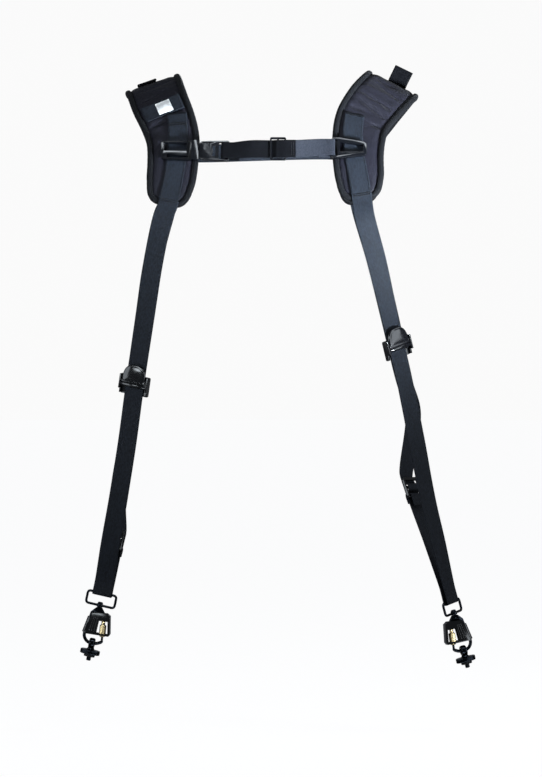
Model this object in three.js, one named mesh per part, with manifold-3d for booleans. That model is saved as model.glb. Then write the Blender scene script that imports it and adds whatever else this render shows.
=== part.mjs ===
// Dual camera harness: two shoulder pads, a chest strap and two hanging swivel hooks.
// Millimetres, +Z up, the wearer faces -Y. The origin is between the shoulders, at the height
// where the pads rest. Left and right are those of a viewer who faces the front.
import * as THREE from 'three';
import { mergeVertices } from 'three/addons/utils/BufferGeometryUtils.js';
import Module from 'manifold-3d';

const wasm = await Module();
wasm.setup();

// Clearance between pieces that touch or run in each other
const GAP = 0.3;
// Room between a strap and the square bar that it is folded round
const FOLD_GAP = 0.5;

// Webbing
const WEBBING_WIDTH = 25;
const WEBBING_THICKNESS = 1.6;
const CHEST_WEBBING_WIDTH = 22;
const CHEST_WEBBING_THICKNESS = 1.4;

// Shoulder pads
const PAD_WIDTH = 73;
const PAD_THICKNESS = 8;
const PAD_SPREAD = 118;
const PAD_DROP = 140;
const BINDING_WIDTH = 8;
const BINDING_THICKNESS = 10;
const SEAM_WIDTH = 1.3;
const PAD_STEPS = 28;
const CHEST_DEPTH = 116;
const BACK_DEPTH = 112;
const LABEL_BAND_WIDTH = 25;
const LABEL_BAND_THICKNESS = 1.2;
const LABEL_WIDTH = 20;
const LABEL_HEIGHT = 20;
const LABEL_THICKNESS = 0.8;
const LABEL_ALONG = 0.324;
const LABEL_OFFSET = 2.5;
const TAB_LENGTH = 44;
const TAB_THICKNESS = 3.2;
const TAB_RISE = 21;

// Webbing ring of the swivel
const RING_WIDTH = 41;
const RING_HEIGHT = 19;
const RING_WIRE = 3.2;
const BOSS_DIAMETER = 8.5;
const BOSS_HEIGHT = 4.4;
const STUD_DIAMETER = 4.2;
const STUD_HEAD_DIAMETER = 7;
const STUD_HEAD_HEIGHT = 2;

// Swivel hook, its gate and its cover
const HOOK_LENGTH = 47.6;
const HOOK_HALF_WIDTH = 12;
const HOOK_WIRE = 4.2;
const HOOK_SHOULDER_THICKNESS = 7;
const GATE_LENGTH = 26;
const GATE_DIAMETER = 3;
const GATE_LEAN = 7;
const GATE_PIN_DIAMETER = 1.8;
const NOSE_LENGTH = 4.2;
const SLEEVE_DIAMETER = 8.4;
const SLEEVE_LENGTH = 21;
const SLEEVE_GROOVES = 9;
const COVER_WALL = 1.5;
const COVER_CAVITY = 9.2;
const COVER_BOTTOM = 36;
const COVER_TUBE_WALL = 1.1;

// Fastener that screws into a tripod socket
const EYE_DIAMETER = 14;
const EYE_HOLE_DIAMETER = 6;
const EYE_THICKNESS = 7.4;
const DISC_DIAMETER = 25;
const DISC_THICKNESS = 5.6;
const DISC_DROP = 8.2;
const WASHER_DIAMETER = 14;
const WASHER_THICKNESS = 3;
const SCREW_DIAMETER = 6.35;
const SCREW_LENGTH = 5;

// Strap stop with its cam lever
const CAM_WIDTH = 38;
const CAM_WALL = 1.9;
const CAM_LEVER_RISE = 26;
const CAM_LEVER_THICKNESS = 6;
const CAM_PIN_DIAMETER = 3;
const CAM_PIN_STANDOFF = 4.6;

// Strap adjuster behind the arm
const LADDER_WIDTH = 32;
const LADDER_HEIGHT = 28;
const LADDER_THICKNESS = 4;
const LADDER_BAR = 4;
const LADDER_TAIL = 14;

// Chest strap hardware
const BUCKLE_HEIGHT = 26;
const BUCKLE_FRAME_LENGTH = 38;
const BUCKLE_SOCKET_LENGTH = 9;
const BUCKLE_THICKNESS = 4.4;
const BUCKLE_SOCKET_THICKNESS = 7.6;
const BUCKLE_MALE_LENGTH = 38;
const SLIDER_LENGTH = 44;
const SLIDER_HEIGHT = 28;
const SLIDER_TIP_HEIGHT = 18;
const TRIGLIDE_PITCH = 9;
const TRIGLIDE_BAR = 2;
const TRIGLIDE_HEIGHT = 29;
const FITTING_STANDOFF = 1.6;
const CHEST_STRAP_DEPTH = 121;
const CHEST_STRAP_DROP = 69;
const TRIGLIDE_OUT = 15;
const FREE_END_LENGTH = 22;

const SIDES = {
  left: {
    sign: -1,
    hookOut: 209,
    hookDrop: 634,
    hookDepth: 50,
    chainTilt: 12,
    ringTurn: 11,
    hookTurn: 4,
    padLength: 1,
    runTop: 0.286,
    cam: 0.425,
    ladderTurn: 42,
    tabOffset: -6,
    tabStands: false,
  },
  right: {
    sign: 1,
    hookOut: 236,
    hookDrop: 644,
    hookDepth: 50,
    chainTilt: 14.5,
    ringTurn: 53,
    hookTurn: 12,
    padLength: 0.95,
    runTop: 0.262,
    cam: 0.322,
    ladderTurn: 50,
    tabOffset: 4,
    tabStands: true,
  },
};

// Front half of a pad from its tip to the top of the shoulder. left and right are shares of
// PAD_SPREAD, height of PAD_DROP, depth of CHEST_DEPTH and width of PAD_WIDTH; leftSlope and
// rightSlope are degrees of fall towards the arm.
const PAD_ROWS = [
  { left: 1.054, right: 1.002, height: -1.0, depth: 1.0, width: 0.42, leftSlope: -8, rightSlope: -3 },
  { left: 1.047, right: 0.998, height: -0.97, depth: 0.998, width: 0.6, leftSlope: -8, rightSlope: -2 },
  { left: 1.034, right: 0.992, height: -0.91, depth: 0.99, width: 0.74, leftSlope: -8, rightSlope: -1 },
  { left: 1.003, right: 0.987, height: -0.765, depth: 0.957, width: 0.85, leftSlope: -5, rightSlope: 0 },
  { left: 0.984, right: 0.975, height: -0.583, depth: 0.897, width: 0.88, leftSlope: 0, rightSlope: 2 },
  { left: 0.987, right: 0.986, height: -0.4, depth: 0.81, width: 0.92, leftSlope: 6, rightSlope: 9 },
  { left: 1.044, right: 1.03, height: -0.228, depth: 0.69, width: 0.96, leftSlope: 15, rightSlope: 20 },
  { left: 1.136, right: 1.162, height: -0.044, depth: 0.517, width: 1.0, leftSlope: 20, rightSlope: 31 },
  { left: 1.212, right: 1.343, height: 0.128, depth: 0.216, width: 1.01, leftSlope: 19, rightSlope: 27 },
  { left: 1.235, right: 1.37, height: 0.15, depth: 0, width: 1.01, leftSlope: 19, rightSlope: 26 },
];

// Rear half of a pad in shares of the front half
const REAR_LENGTH = 0.88;
const REAR_SPREAD = 1.05;
const REAR_NARROWING = 0.92;

// Free run of the sling webbing in front. drop is a share of the hook's drop, out of its distance
// from the middle, depth of CHEST_DEPTH; turn is degrees that the face looks towards the arm.
const FRONT_ROUTE = {
  left: [
    { drop: 0.239, out: 0.609, depth: -1.075, turn: 3, steps: 3 },
    { drop: 0.327, out: 0.669, depth: -1.01, turn: 8, steps: 3 },
    { drop: 0.444, out: 0.725, depth: -0.93, turn: 16, steps: 3 },
    { drop: 0.562, out: 0.781, depth: -0.84, turn: 19, steps: 3 },
    { drop: 0.681, out: 0.832, depth: -0.74, turn: 19, steps: 3 },
    { drop: 0.8, out: 0.892, depth: -0.63, turn: 16, steps: 3 },
    { drop: 0.891, out: 0.943, depth: -0.54, turn: 13, steps: 3 },
  ],
  right: [
    { drop: 0.235, out: 0.518, depth: -1.075, turn: 2, steps: 3 },
    { drop: 0.322, out: 0.582, depth: -1.01, turn: 10, steps: 3 },
    { drop: 0.437, out: 0.658, depth: -0.93, turn: 34, steps: 3 },
    { drop: 0.553, out: 0.734, depth: -0.84, turn: 36, steps: 3 },
    { drop: 0.67, out: 0.8, depth: -0.74, turn: 32, steps: 3 },
    { drop: 0.788, out: 0.865, depth: -0.63, turn: 38, steps: 3 },
    { drop: 0.877, out: 0.926, depth: -0.54, turn: 44, steps: 3 },
  ],
};

// Adjuster place and the run behind it, in the same shares, depth of BACK_DEPTH from here on
const LADDER_PLACE = {
  left: { drop: 0.889, out: 0.925, depth: -0.16 },
  right: { drop: 0.767, out: 0.795, depth: -0.08 },
};
const REAR_ROUTE = {
  left: [
    { drop: 0.804, out: 0.909, depth: -0.09, turn: 30, steps: 3 },
    { drop: 0.683, out: 0.858, depth: 0.17, turn: 20, steps: 3 },
    { drop: 0.561, out: 0.813, depth: 0.39, turn: 14, steps: 3 },
    { drop: 0.437, out: 0.765, depth: 0.65, turn: 8, steps: 3 },
    { drop: 0.311, out: 0.713, depth: 0.88, turn: 4, steps: 3 },
  ],
  right: [
    { drop: 0.616, out: 0.805, depth: 0.17, turn: 34, steps: 3 },
    { drop: 0.555, out: 0.76, depth: 0.35, turn: 28, steps: 3 },
    { drop: 0.43, out: 0.688, depth: 0.61, turn: 16, steps: 3 },
    { drop: 0.306, out: 0.612, depth: 0.88, turn: 6, steps: 3 },
  ],
};

// Sling webbing on the front of a pad, which begins at the side's runTop: along is a share of the
// pad's arch, left and right are shares of PAD_WIDTH from the pad's middle, lift is a share of
// BINDING_THICKNESS.
const PAD_RUN = [
  { along: 0.3, left: 0.195, right: -0.165, lift: 0 },
  { along: 0.215, left: 0.095, right: -0.13, lift: 0 },
  { along: 0.147, left: 0.06, right: -0.075, lift: 0 },
  { along: 0.082, left: 0.035, right: -0.03, lift: 0 },
  { along: 0.03, left: 0.03, right: 0.01, lift: 0.1 },
  { along: 0.002, left: 0.03, right: 0.02, lift: 0.1 },
];

// Half section of a pad in shares of its half width and half thickness
const PAD_SECTION = [
  { across: 1, height: -0.55 },
  { across: 1, height: 0.55 },
  { across: 0.88, height: 1 },
  { across: 0, height: 1 },
  { across: -0.88, height: 1 },
  { across: -1, height: 0.55 },
  { across: -1, height: -0.55 },
  { across: -0.88, height: -1 },
  { across: 0.88, height: -1 },
];

// Colours and finishes
const fabric = new THREE.MeshStandardMaterial({ color: 0x24262b, roughness: 0.9, metalness: 0 });
const bindingCloth = new THREE.MeshStandardMaterial({ color: 0x1c1e22, roughness: 0.85, metalness: 0 });
const webbing = new THREE.MeshStandardMaterial({ color: 0x2a2d33, roughness: 0.8, metalness: 0 });
const elastic = new THREE.MeshStandardMaterial({ color: 0x3a3d45, roughness: 0.85, metalness: 0 });
const labelCloth = new THREE.MeshStandardMaterial({ color: 0xf2f2f0, roughness: 0.8, metalness: 0 });
const plastic = new THREE.MeshStandardMaterial({ color: 0x141518, roughness: 0.35, metalness: 0 });
const blackMetal = new THREE.MeshStandardMaterial({ color: 0x17181b, roughness: 0.25, metalness: 0.8 });
const brass = new THREE.MeshStandardMaterial({ color: 0xc9a227, roughness: 0.3, metalness: 1 });
const rubber = new THREE.MeshStandardMaterial({ color: 0x101012, roughness: 0.9, metalness: 0 });

const vector = (x, y, z) => new THREE.Vector3(x, y, z);
const radians = THREE.MathUtils.degToRad;

function signedVolume(geometry) {
  const position = geometry.getAttribute('position');
  const index = geometry.getIndex();
  const corner = (i) => new THREE.Vector3().fromBufferAttribute(position, index.getX(i));
  let total = 0;
  for (let i = 0; i < index.count; i += 3) {
    total += corner(i).dot(corner(i + 1).cross(corner(i + 2))) / 6;
  }
  return total;
}

function loft(rings, closed = false) {
  const count = rings[0].length;
  const points = rings.flat();
  const index = [];
  const spans = closed ? rings.length : rings.length - 1;
  for (let i = 0; i < spans; i += 1) {
    const here = i * count;
    const next = ((i + 1) % rings.length) * count;
    for (let k = 0; k < count; k += 1) {
      const m = (k + 1) % count;
      index.push(here + k, here + m, next + m);
      index.push(here + k, next + m, next + k);
    }
  }
  if (!closed) {
    const last = (rings.length - 1) * count;
    for (let k = 1; k < count - 1; k += 1) {
      index.push(0, k + 1, k);
      index.push(last, last + k, last + k + 1);
    }
  }
  const geometry = new THREE.BufferGeometry();
  const values = points.flatMap((point) => point.toArray());
  geometry.setAttribute('position', new THREE.Float32BufferAttribute(values, 3));
  geometry.setIndex(index);
  if (signedVolume(geometry) < 0) {
    const flipped = [];
    for (let i = 0; i < index.length; i += 3) {
      flipped.push(index[i], index[i + 2], index[i + 1]);
    }
    geometry.setIndex(flipped);
  }
  return geometry;
}

function toSolid(geometry) {
  const bare = geometry.clone();
  bare.deleteAttribute('normal');
  bare.deleteAttribute('uv');
  const merged = mergeVertices(bare, 1e-4);
  const mesh = new wasm.Mesh({
    numProp: 3,
    vertProperties: new Float32Array(merged.getAttribute('position').array),
    triVerts: new Uint32Array(merged.getIndex().array),
  });
  return new wasm.Manifold(mesh);
}

function toGeometry(solid) {
  const mesh = solid.getMesh();
  const geometry = new THREE.BufferGeometry();
  geometry.setAttribute('position', new THREE.BufferAttribute(new Float32Array(mesh.vertProperties), 3));
  geometry.setIndex(new THREE.BufferAttribute(new Uint32Array(mesh.triVerts), 1));
  return geometry;
}

function join(...geometries) {
  return toGeometry(geometries.map(toSolid).reduce((whole, part) => whole.add(part)));
}

function cut(geometry, ...tools) {
  return toGeometry(tools.map(toSolid).reduce((whole, tool) => whole.subtract(tool), toSolid(geometry)));
}

function piece(name, geometry, material) {
  const mesh = new THREE.Mesh(geometry, material);
  mesh.name = name;
  return mesh;
}

function block(x0, x1, y0, y1, z0, z1) {
  const geometry = new THREE.BoxGeometry(x1 - x0, y1 - y0, z1 - z0);
  return geometry.translate((x0 + x1) / 2, (y0 + y1) / 2, (z0 + z1) / 2);
}

// Flat plate whose outline lies in X and Z, from y0 back to y1
function plate(outline, y0, y1, holes = []) {
  const shape = outline instanceof THREE.Shape ? outline : polygon(outline);
  shape.holes = holes.map((hole) => (hole instanceof THREE.Shape ? hole : polygon(hole)));
  const geometry = new THREE.ExtrudeGeometry(shape, { depth: y1 - y0, bevelEnabled: false, curveSegments: 2 });
  return geometry.rotateX(Math.PI / 2).translate(0, y1, 0);
}

function polygon(points) {
  return new THREE.Shape(points.map(([x, z]) => new THREE.Vector2(x, z)));
}

function roundedBox(x0, x1, z0, z1, radius) {
  const shape = new THREE.Shape();
  shape.moveTo(x0 + radius, z0);
  shape.lineTo(x1 - radius, z0);
  shape.absarc(x1 - radius, z0 + radius, radius, -Math.PI / 2, 0);
  shape.lineTo(x1, z1 - radius);
  shape.absarc(x1 - radius, z1 - radius, radius, 0, Math.PI / 2);
  shape.lineTo(x0 + radius, z1);
  shape.absarc(x0 + radius, z1 - radius, radius, Math.PI / 2, Math.PI);
  shape.lineTo(x0, z0 + radius);
  shape.absarc(x0 + radius, z0 + radius, radius, Math.PI, Math.PI * 1.5);
  return shape;
}

// Round bar between two points
function bar(from, to, radius, sides = 12) {
  const geometry = new THREE.CylinderGeometry(radius, radius, from.distanceTo(to), sides);
  const direction = to.clone().sub(from).normalize();
  geometry.applyQuaternion(new THREE.Quaternion().setFromUnitVectors(vector(0, 1, 0), direction));
  const middle = from.clone().add(to).multiplyScalar(0.5);
  return geometry.translate(middle.x, middle.y, middle.z);
}

// Turned piece about Z, its profile as radius and height pairs from the bottom axis to the top
function turned(profile, sides = 24) {
  const points = profile.map(([radius, height]) => new THREE.Vector2(radius, height));
  return new THREE.LatheGeometry(points, sides).rotateX(Math.PI / 2);
}

// Round wire along a curve that lies in X and Z
function wire(curve, radius, steps, sides = 8) {
  const rings = [];
  for (let i = 0; i <= steps; i += 1) {
    const centre = curve.getPoint(i / steps);
    const tangent = curve.getTangent(i / steps);
    const side = tangent.clone().cross(vector(0, 1, 0)).normalize();
    const ring = [];
    for (let k = 0; k < sides; k += 1) {
      const angle = (k / sides) * Math.PI * 2;
      const out = side.clone().multiplyScalar(Math.cos(angle) * radius);
      ring.push(centre.clone().add(out).add(vector(0, Math.sin(angle) * radius, 0)));
    }
    rings.push(ring);
  }
  return loft(rings);
}

// Flat webbing through stations of centre, face normal and steps to the next station
function ribbonFrames(stations) {
  const curve = new THREE.CatmullRomCurve3(stations.map((station) => station.centre), false, 'centripetal');
  const last = stations.length - 1;
  const frames = [];
  for (let i = 0; i < last; i += 1) {
    const steps = stations[i].steps;
    for (let k = 0; k < steps; k += 1) {
      frames.push(ribbonFrame(curve, stations, i, k / steps));
    }
  }
  frames.push(ribbonFrame(curve, stations, last - 1, 1));
  return frames;
}

function ribbonFrame(curve, stations, i, share) {
  const t = (i + share) / (stations.length - 1);
  const centre = curve.getPoint(t);
  const tangent = curve.getTangent(t);
  const normal = stations[i].normal.clone().lerp(stations[i + 1].normal, share);
  normal.addScaledVector(tangent, -normal.dot(tangent)).normalize();
  const across = tangent.clone().cross(normal);
  return { centre, tangent, normal, across };
}

function ribbon(stations, width, thickness) {
  const rings = ribbonFrames(stations).map(({ centre, normal, across }) => {
    const corners = [[-1, -1], [1, -1], [1, 1], [-1, 1]];
    return corners.map(([u, v]) => centre.clone()
      .addScaledVector(across, (u * width) / 2)
      .addScaledVector(normal, (v * thickness) / 2));
  });
  return loft(rings);
}

// Stations of webbing folded round a bar at the origin of a frame. The webbing comes along
// the frame's +Z in front of the bar, turns round it and leaves along +Z behind it.
function foldStations(frame, bar, thickness, lead, tail) {
  const room = FOLD_GAP + thickness / 2;
  const [leg, under] = [bar.thickness / 2 + room, bar.width / 2 + room];
  const rows = [
    { y: -leg, z: lead, ny: -1, nz: 0, steps: 1 },
    { y: -leg, z: under * 0.2, ny: -1, nz: 0, steps: 1 },
    { y: -leg * 0.86, z: -under * 0.86, ny: -0.7, nz: -0.7, steps: 1 },
    { y: 0, z: -under, ny: 0, nz: -1, steps: 1 },
    { y: leg * 0.86, z: -under * 0.86, ny: 0.7, nz: -0.7, steps: 1 },
    { y: leg, z: under * 0.2, ny: 1, nz: 0, steps: 1 },
    { y: leg, z: tail, ny: 1, nz: 0, steps: 1 },
  ];
  return rows.map((row) => ({
    centre: vector(0, row.y, row.z).applyMatrix4(frame),
    normal: vector(0, row.ny, row.nz).transformDirection(frame),
    steps: row.steps,
  }));
}

// Matrix from an origin, an X direction and a -Y facing normal
function frameAt(centre, across, normal) {
  const back = normal.clone().negate();
  const up = across.clone().cross(back).normalize();
  return new THREE.Matrix4().makeBasis(across, back, up).setPosition(centre);
}

function placed(frame, ...meshes) {
  const group = new THREE.Group();
  group.applyMatrix4(frame);
  meshes.forEach((mesh) => group.add(mesh));
  return group;
}

// Arch of a pad over the shoulder, front tip at share 0 and rear tip at share 1
function padArch(name) {
  const side = SIDES[name];
  const rows = PAD_ROWS.map((row) => {
    const length = row.height < 0 ? side.padLength : 1;
    return {
      centre: vector(
        side.sign * row[name] * PAD_SPREAD,
        -row.depth * CHEST_DEPTH,
        row.height * PAD_DROP * length,
      ),
      width: row.width * PAD_WIDTH,
      slope: row[`${name}Slope`],
    };
  });
  const rear = PAD_ROWS.slice(0, -1).reverse().map((row) => {
    const length = row.height < 0 ? REAR_LENGTH : 1;
    const spread = 1 + (REAR_SPREAD - 1) * row.depth;
    return {
      centre: vector(
        side.sign * row[name] * PAD_SPREAD * spread,
        row.depth * BACK_DEPTH,
        row.height * PAD_DROP * length,
      ),
      width: row.width * PAD_WIDTH * REAR_NARROWING,
      slope: row[`${name}Slope`],
    };
  });
  const all = rows.concat(rear);
  const curve = new THREE.CatmullRomCurve3(all.map((row) => row.centre), false, 'centripetal');
  const length = curve.getLength();
  const frame = (share) => {
    const t = curve.getUtoTmapping(THREE.MathUtils.clamp(share, 0, 1));
    const place = Math.min(t * (all.length - 1), all.length - 1 - 1e-6);
    const i = Math.floor(place);
    const mix = (key) => THREE.MathUtils.lerp(all[i][key], all[i + 1][key], place - i);
    const slope = radians(mix('slope'));
    const tangent = curve.getTangent(t);
    const across = vector(Math.cos(slope), 0, -side.sign * Math.sin(slope));
    across.addScaledVector(tangent, -across.dot(tangent)).normalize();
    const normal = across.clone().cross(tangent).normalize();
    return { centre: curve.getPoint(t), across, normal, tangent, width: mix('width') };
  };
  return { frame, length };
}

// Point above the pad's middle layer, offset across it
function onPad(arch, share, offset, lift) {
  const { centre, across, normal } = arch.frame(share);
  return centre.clone().addScaledVector(across, offset).addScaledVector(normal, lift);
}

// Shares of the arch at which a pad is built, from one end inset to the other
function padShares(arch, inset) {
  const end = inset / arch.length;
  const shares = [end];
  for (let i = 1; i < PAD_STEPS; i += 1) {
    shares.push(i / PAD_STEPS);
  }
  return shares.filter((share, i) => i === 0 || share > end + 0.004 && share < 0.996 - end).concat(1 - end);
}

// Width of a pad's edge measured across the arch, where its outline runs at a slant
function slantedWidth(arch, share, width) {
  const step = 0.004;
  const low = Math.max(share - step, 0);
  const high = Math.min(share + step, 1);
  const rise = (arch.frame(high).width - arch.frame(low).width) / 2;
  return width * Math.hypot(1, rise / ((high - low) * arch.length));
}

function padBody(arch) {
  const inset = BINDING_WIDTH + SEAM_WIDTH;
  const rings = [];
  for (const share of padShares(arch, inset)) {
    const { centre, across, normal, width } = arch.frame(share);
    const half = width / 2 - slantedWidth(arch, share, inset);
    rings.push(PAD_SECTION.map((row) => centre.clone()
      .addScaledVector(across, row.across * half)
      .addScaledVector(normal, (row.height * PAD_THICKNESS) / 2)));
  }
  return loft(rings);
}

function padBinding(arch) {
  const middle = BINDING_WIDTH / 2;
  const edge = padShares(arch, middle).map((share) => {
    const frame = arch.frame(share);
    return { frame, offset: frame.width / 2 - slantedWidth(arch, share, middle) };
  });
  const back = edge.slice().reverse().map(({ frame, offset }) => ({ frame, offset: -offset }));
  const loop = edge.concat(back);
  const points = loop.map(({ frame, offset }) => frame.centre.clone().addScaledVector(frame.across, offset));
  const rings = points.map((point, i) => {
    const before = points[(i + points.length - 1) % points.length];
    const after = points[(i + 1) % points.length];
    const first = point.clone().sub(before).normalize();
    const second = after.clone().sub(point).normalize();
    const normal = loop[i].frame.normal;
    const out = first.clone().add(second).cross(normal).normalize();
    const mitre = 1 / Math.max(0.6, out.dot(second.clone().cross(normal).normalize()));
    const section = [[1, -0.5], [1, 0.5], [0.3, 1], [-0.9, 1], [-0.9, -1], [0.3, -1]];
    return section.map(([u, v]) => point.clone()
      .addScaledVector(out, (u * mitre * BINDING_WIDTH) / 2)
      .addScaledVector(normal, (v * BINDING_THICKNESS) / 2));
  });
  return loft(rings, true);
}

function routeStations(name, rows, depth) {
  const side = SIDES[name];
  return rows.map((row) => {
    const turn = radians(row.turn ?? 0);
    return {
      centre: vector(side.sign * row.out * side.hookOut, row.depth * depth, -row.drop * side.hookDrop),
      normal: vector(side.sign * Math.sin(turn), -Math.cos(turn), 0),
      steps: row.steps ?? 1,
    };
  });
}

// Frame of the hanging chain at the middle of the ring, Z along the chain
function chainFrame(name) {
  const side = SIDES[name];
  const rotation = new THREE.Matrix4().makeRotationY(radians(-side.sign * side.chainTilt));
  return rotation.setPosition(side.sign * side.hookOut, -side.hookDepth, -side.hookDrop);
}

function ringFrame(name) {
  const side = SIDES[name];
  const turn = new THREE.Matrix4().makeRotationZ(radians(side.sign * side.ringTurn));
  return chainFrame(name).multiply(turn);
}

function ladderFrame(name) {
  const side = SIDES[name];
  const place = routeStations(name, [LADDER_PLACE[name]], BACK_DEPTH)[0].centre;
  const ring = vector(0, 0, RING_HEIGHT / 2).applyMatrix4(ringFrame(name));
  const up = place.clone().sub(ring).normalize();
  const turn = radians(side.ladderTurn);
  const normal = vector(side.sign * Math.sin(turn), -Math.cos(turn), 0);
  normal.addScaledVector(up, -normal.dot(up)).normalize();
  return frameAt(place, normal.clone().negate().cross(up).normalize(), normal);
}

// Middle of the sling webbing above the middle of the pad
const padRunLift = PAD_THICKNESS / 2 + 2 * GAP + WEBBING_THICKNESS / 2;

function padRunStations(arch, name) {
  return PAD_RUN.map((row) => {
    const along = Math.min(row.along, SIDES[name].runTop);
    return {
      centre: onPad(arch, along, row[name] * PAD_WIDTH, padRunLift + row.lift * BINDING_THICKNESS),
      normal: arch.frame(along).normal,
      steps: 3,
    };
  });
}

// Square bars that webbing is folded round
const ringBarSize = { width: RING_WIRE, thickness: RING_WIRE };
const ladderBarSize = { width: LADDER_BAR, thickness: LADDER_THICKNESS };

function slingStations(name, arch) {
  const ringBar = ringFrame(name).multiply(
    new THREE.Matrix4().makeTranslation(0, 0, (RING_HEIGHT - RING_WIRE) / 2));
  const ladder = ladderFrame(name);
  const lowerBar = ladder.clone().multiply(
    new THREE.Matrix4().makeTranslation(0, 0, -(LADDER_HEIGHT - LADDER_BAR) / 2));
  const down = lowerBar.clone().multiply(new THREE.Matrix4().makeRotationX(Math.PI));
  const adjuster = foldStations(down, ladderBarSize, WEBBING_THICKNESS, 8, LADDER_TAIL);
  const ringTurn = foldStations(ringBar, ringBarSize, WEBBING_THICKNESS, 16, 16);
  ringTurn[ringTurn.length - 1].steps = 5;
  return padRunStations(arch, name)
    .concat(routeStations(name, FRONT_ROUTE[name], CHEST_DEPTH))
    .concat(ringTurn)
    .concat(adjuster);
}

// Way of the rear webbing through the adjuster, from its tail behind the lower bar, over the front
// of the middle bar and up behind the upper bar. depth is measured back from the bars' middle.
const THREADING = [
  { depth: 5.5, height: -20 }, { depth: 5.4, height: -9.4 }, { depth: 3.4, height: -5.9 },
  { depth: 0, height: -4.7 }, { depth: -2.8, height: -3.3 }, { depth: -3.5, height: 0 },
  { depth: -2.8, height: 3.3 }, { depth: 0, height: 5 }, { depth: 2.8, height: 7.2 },
  { depth: 3.5, height: 11 }, { depth: 3.5, height: 18 },
];

function threadingStations(frame) {
  return THREADING.map((row, i) => {
    const before = THREADING[Math.max(i - 1, 0)];
    const after = THREADING[Math.min(i + 1, THREADING.length - 1)];
    const side = vector(0, before.height - after.height, after.depth - before.depth);
    return {
      centre: vector(0, row.depth, row.height).applyMatrix4(frame),
      normal: side.transformDirection(frame),
      steps: 1,
    };
  });
}

function rearStations(name, arch) {
  const threading = threadingStations(ladderFrame(name));
  const floor = BINDING_THICKNESS / 2 + GAP + WEBBING_THICKNESS / 2;
  const onRear = [0.995, 0.95, 0.88].map((along) => ({
    centre: onPad(arch, along, 0, floor),
    normal: arch.frame(along).normal.clone().negate(),
    steps: 2,
  }));
  const stations = threading.concat(routeStations(name, REAR_ROUTE[name], BACK_DEPTH)).concat(onRear);
  stations[threading.length - 1].steps = 2;
  return stations;
}

// Webbing ring with the boss that the swivel stud turns in
function swivelRing() {
  const outer = roundedBox(-RING_WIDTH / 2, RING_WIDTH / 2, -RING_HEIGHT / 2, RING_HEIGHT / 2, 4);
  const inner = roundedBox(
    -RING_WIDTH / 2 + RING_WIRE, RING_WIDTH / 2 - RING_WIRE,
    -RING_HEIGHT / 2 + RING_WIRE, RING_HEIGHT / 2 - RING_WIRE, 1.8);
  const frame = plate(outer, -RING_WIRE / 2, RING_WIRE / 2, [inner]);
  const bottom = -RING_HEIGHT / 2 + RING_WIRE / 2;
  const boss = bar(
    vector(0, 0, bottom - BOSS_HEIGHT / 2), vector(0, 0, bottom + BOSS_HEIGHT / 2), BOSS_DIAMETER / 2, 16);
  const bore = bar(
    vector(0, 0, bottom - BOSS_HEIGHT), vector(0, 0, bottom + BOSS_HEIGHT), STUD_DIAMETER / 2 + GAP, 16);
  return cut(join(frame, boss), bore);
}

// Hook: stud and shoulder on top, spine, bow and nose. Its origin is at the ring's lower edge,
// +X towards the gate, and the bow's lowest wire centre is HOOK_LENGTH below it.
const spineTop = vector(-HOOK_HALF_WIDTH * 0.64, 0, -8);
const spineEnd = vector(-HOOK_HALF_WIDTH, 0, -COVER_BOTTOM + 1);
const gateHinge = vector(HOOK_HALF_WIDTH * 0.66, 0, -11);
const gateLine = vector(Math.sin(radians(GATE_LEAN)), 0, -Math.cos(radians(GATE_LEAN)));
const gateEnd = gateHinge.clone().addScaledVector(gateLine, GATE_LENGTH);
const noseTop = gateEnd.clone().addScaledVector(gateLine, GAP);
const noseEnd = noseTop.clone().addScaledVector(gateLine, NOSE_LENGTH);

function hook() {
  const bossTop = RING_WIRE / 2 + BOSS_HEIGHT / 2;
  const bossBottom = RING_WIRE / 2 - BOSS_HEIGHT / 2;
  const headFoot = bossTop + GAP;
  const shaft = bar(vector(0, 0, bossBottom - 4), vector(0, 0, headFoot + 0.5), STUD_DIAMETER / 2, 12);
  const head = bar(
    vector(0, 0, headFoot), vector(0, 0, headFoot + STUD_HEAD_HEIGHT), STUD_HEAD_DIAMETER / 2, 12);
  const neckTop = bossBottom - GAP;
  const half = HOOK_SHOULDER_THICKNESS / 2;
  const shoulder = plate([
    [-3.2, neckTop], [3.2, neckTop], [gateHinge.x + 1.4, -8.2], [gateHinge.x + 2.4, -11.5],
    [gateHinge.x - 1.2, -13.6], [1.5, -8.5], [-2.5, -8], [spineTop.x + 1.6, -12], [spineTop.x - 2, -11],
    [spineTop.x - 1.4, -7.5],
  ], -half, half);
  const slotHalf = GATE_DIAMETER / 2 + GAP;
  const slot = block(gateHinge.x - 3.6, gateHinge.x + 4, -slotHalf, slotHalf, -15, gateHinge.z + 3);
  const pin = bar(
    vector(gateHinge.x, -half + 0.2, gateHinge.z), vector(gateHinge.x, half - 0.2, gateHinge.z),
    GATE_PIN_DIAMETER / 2, 8);
  const bow = new THREE.CatmullRomCurve3([
    spineTop.clone(),
    spineTop.clone().lerp(spineEnd, 0.5),
    spineEnd.clone(),
    vector(-HOOK_HALF_WIDTH * 0.93, 0, -HOOK_LENGTH + 6.6),
    vector(-HOOK_HALF_WIDTH * 0.58, 0, -HOOK_LENGTH + 1.7),
    vector(0, 0, -HOOK_LENGTH),
    vector(HOOK_HALF_WIDTH * 0.58, 0, -HOOK_LENGTH + 1.5),
    noseEnd.clone().addScaledVector(gateLine, 1.6),
    noseEnd.clone(),
  ], false, 'centripetal');
  const nose = bar(noseEnd, noseTop, GATE_DIAMETER / 2, 8);
  return join(cut(shoulder, slot), pin, shaft, head, wire(bow, HOOK_WIRE / 2, 26), nose);
}

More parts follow.
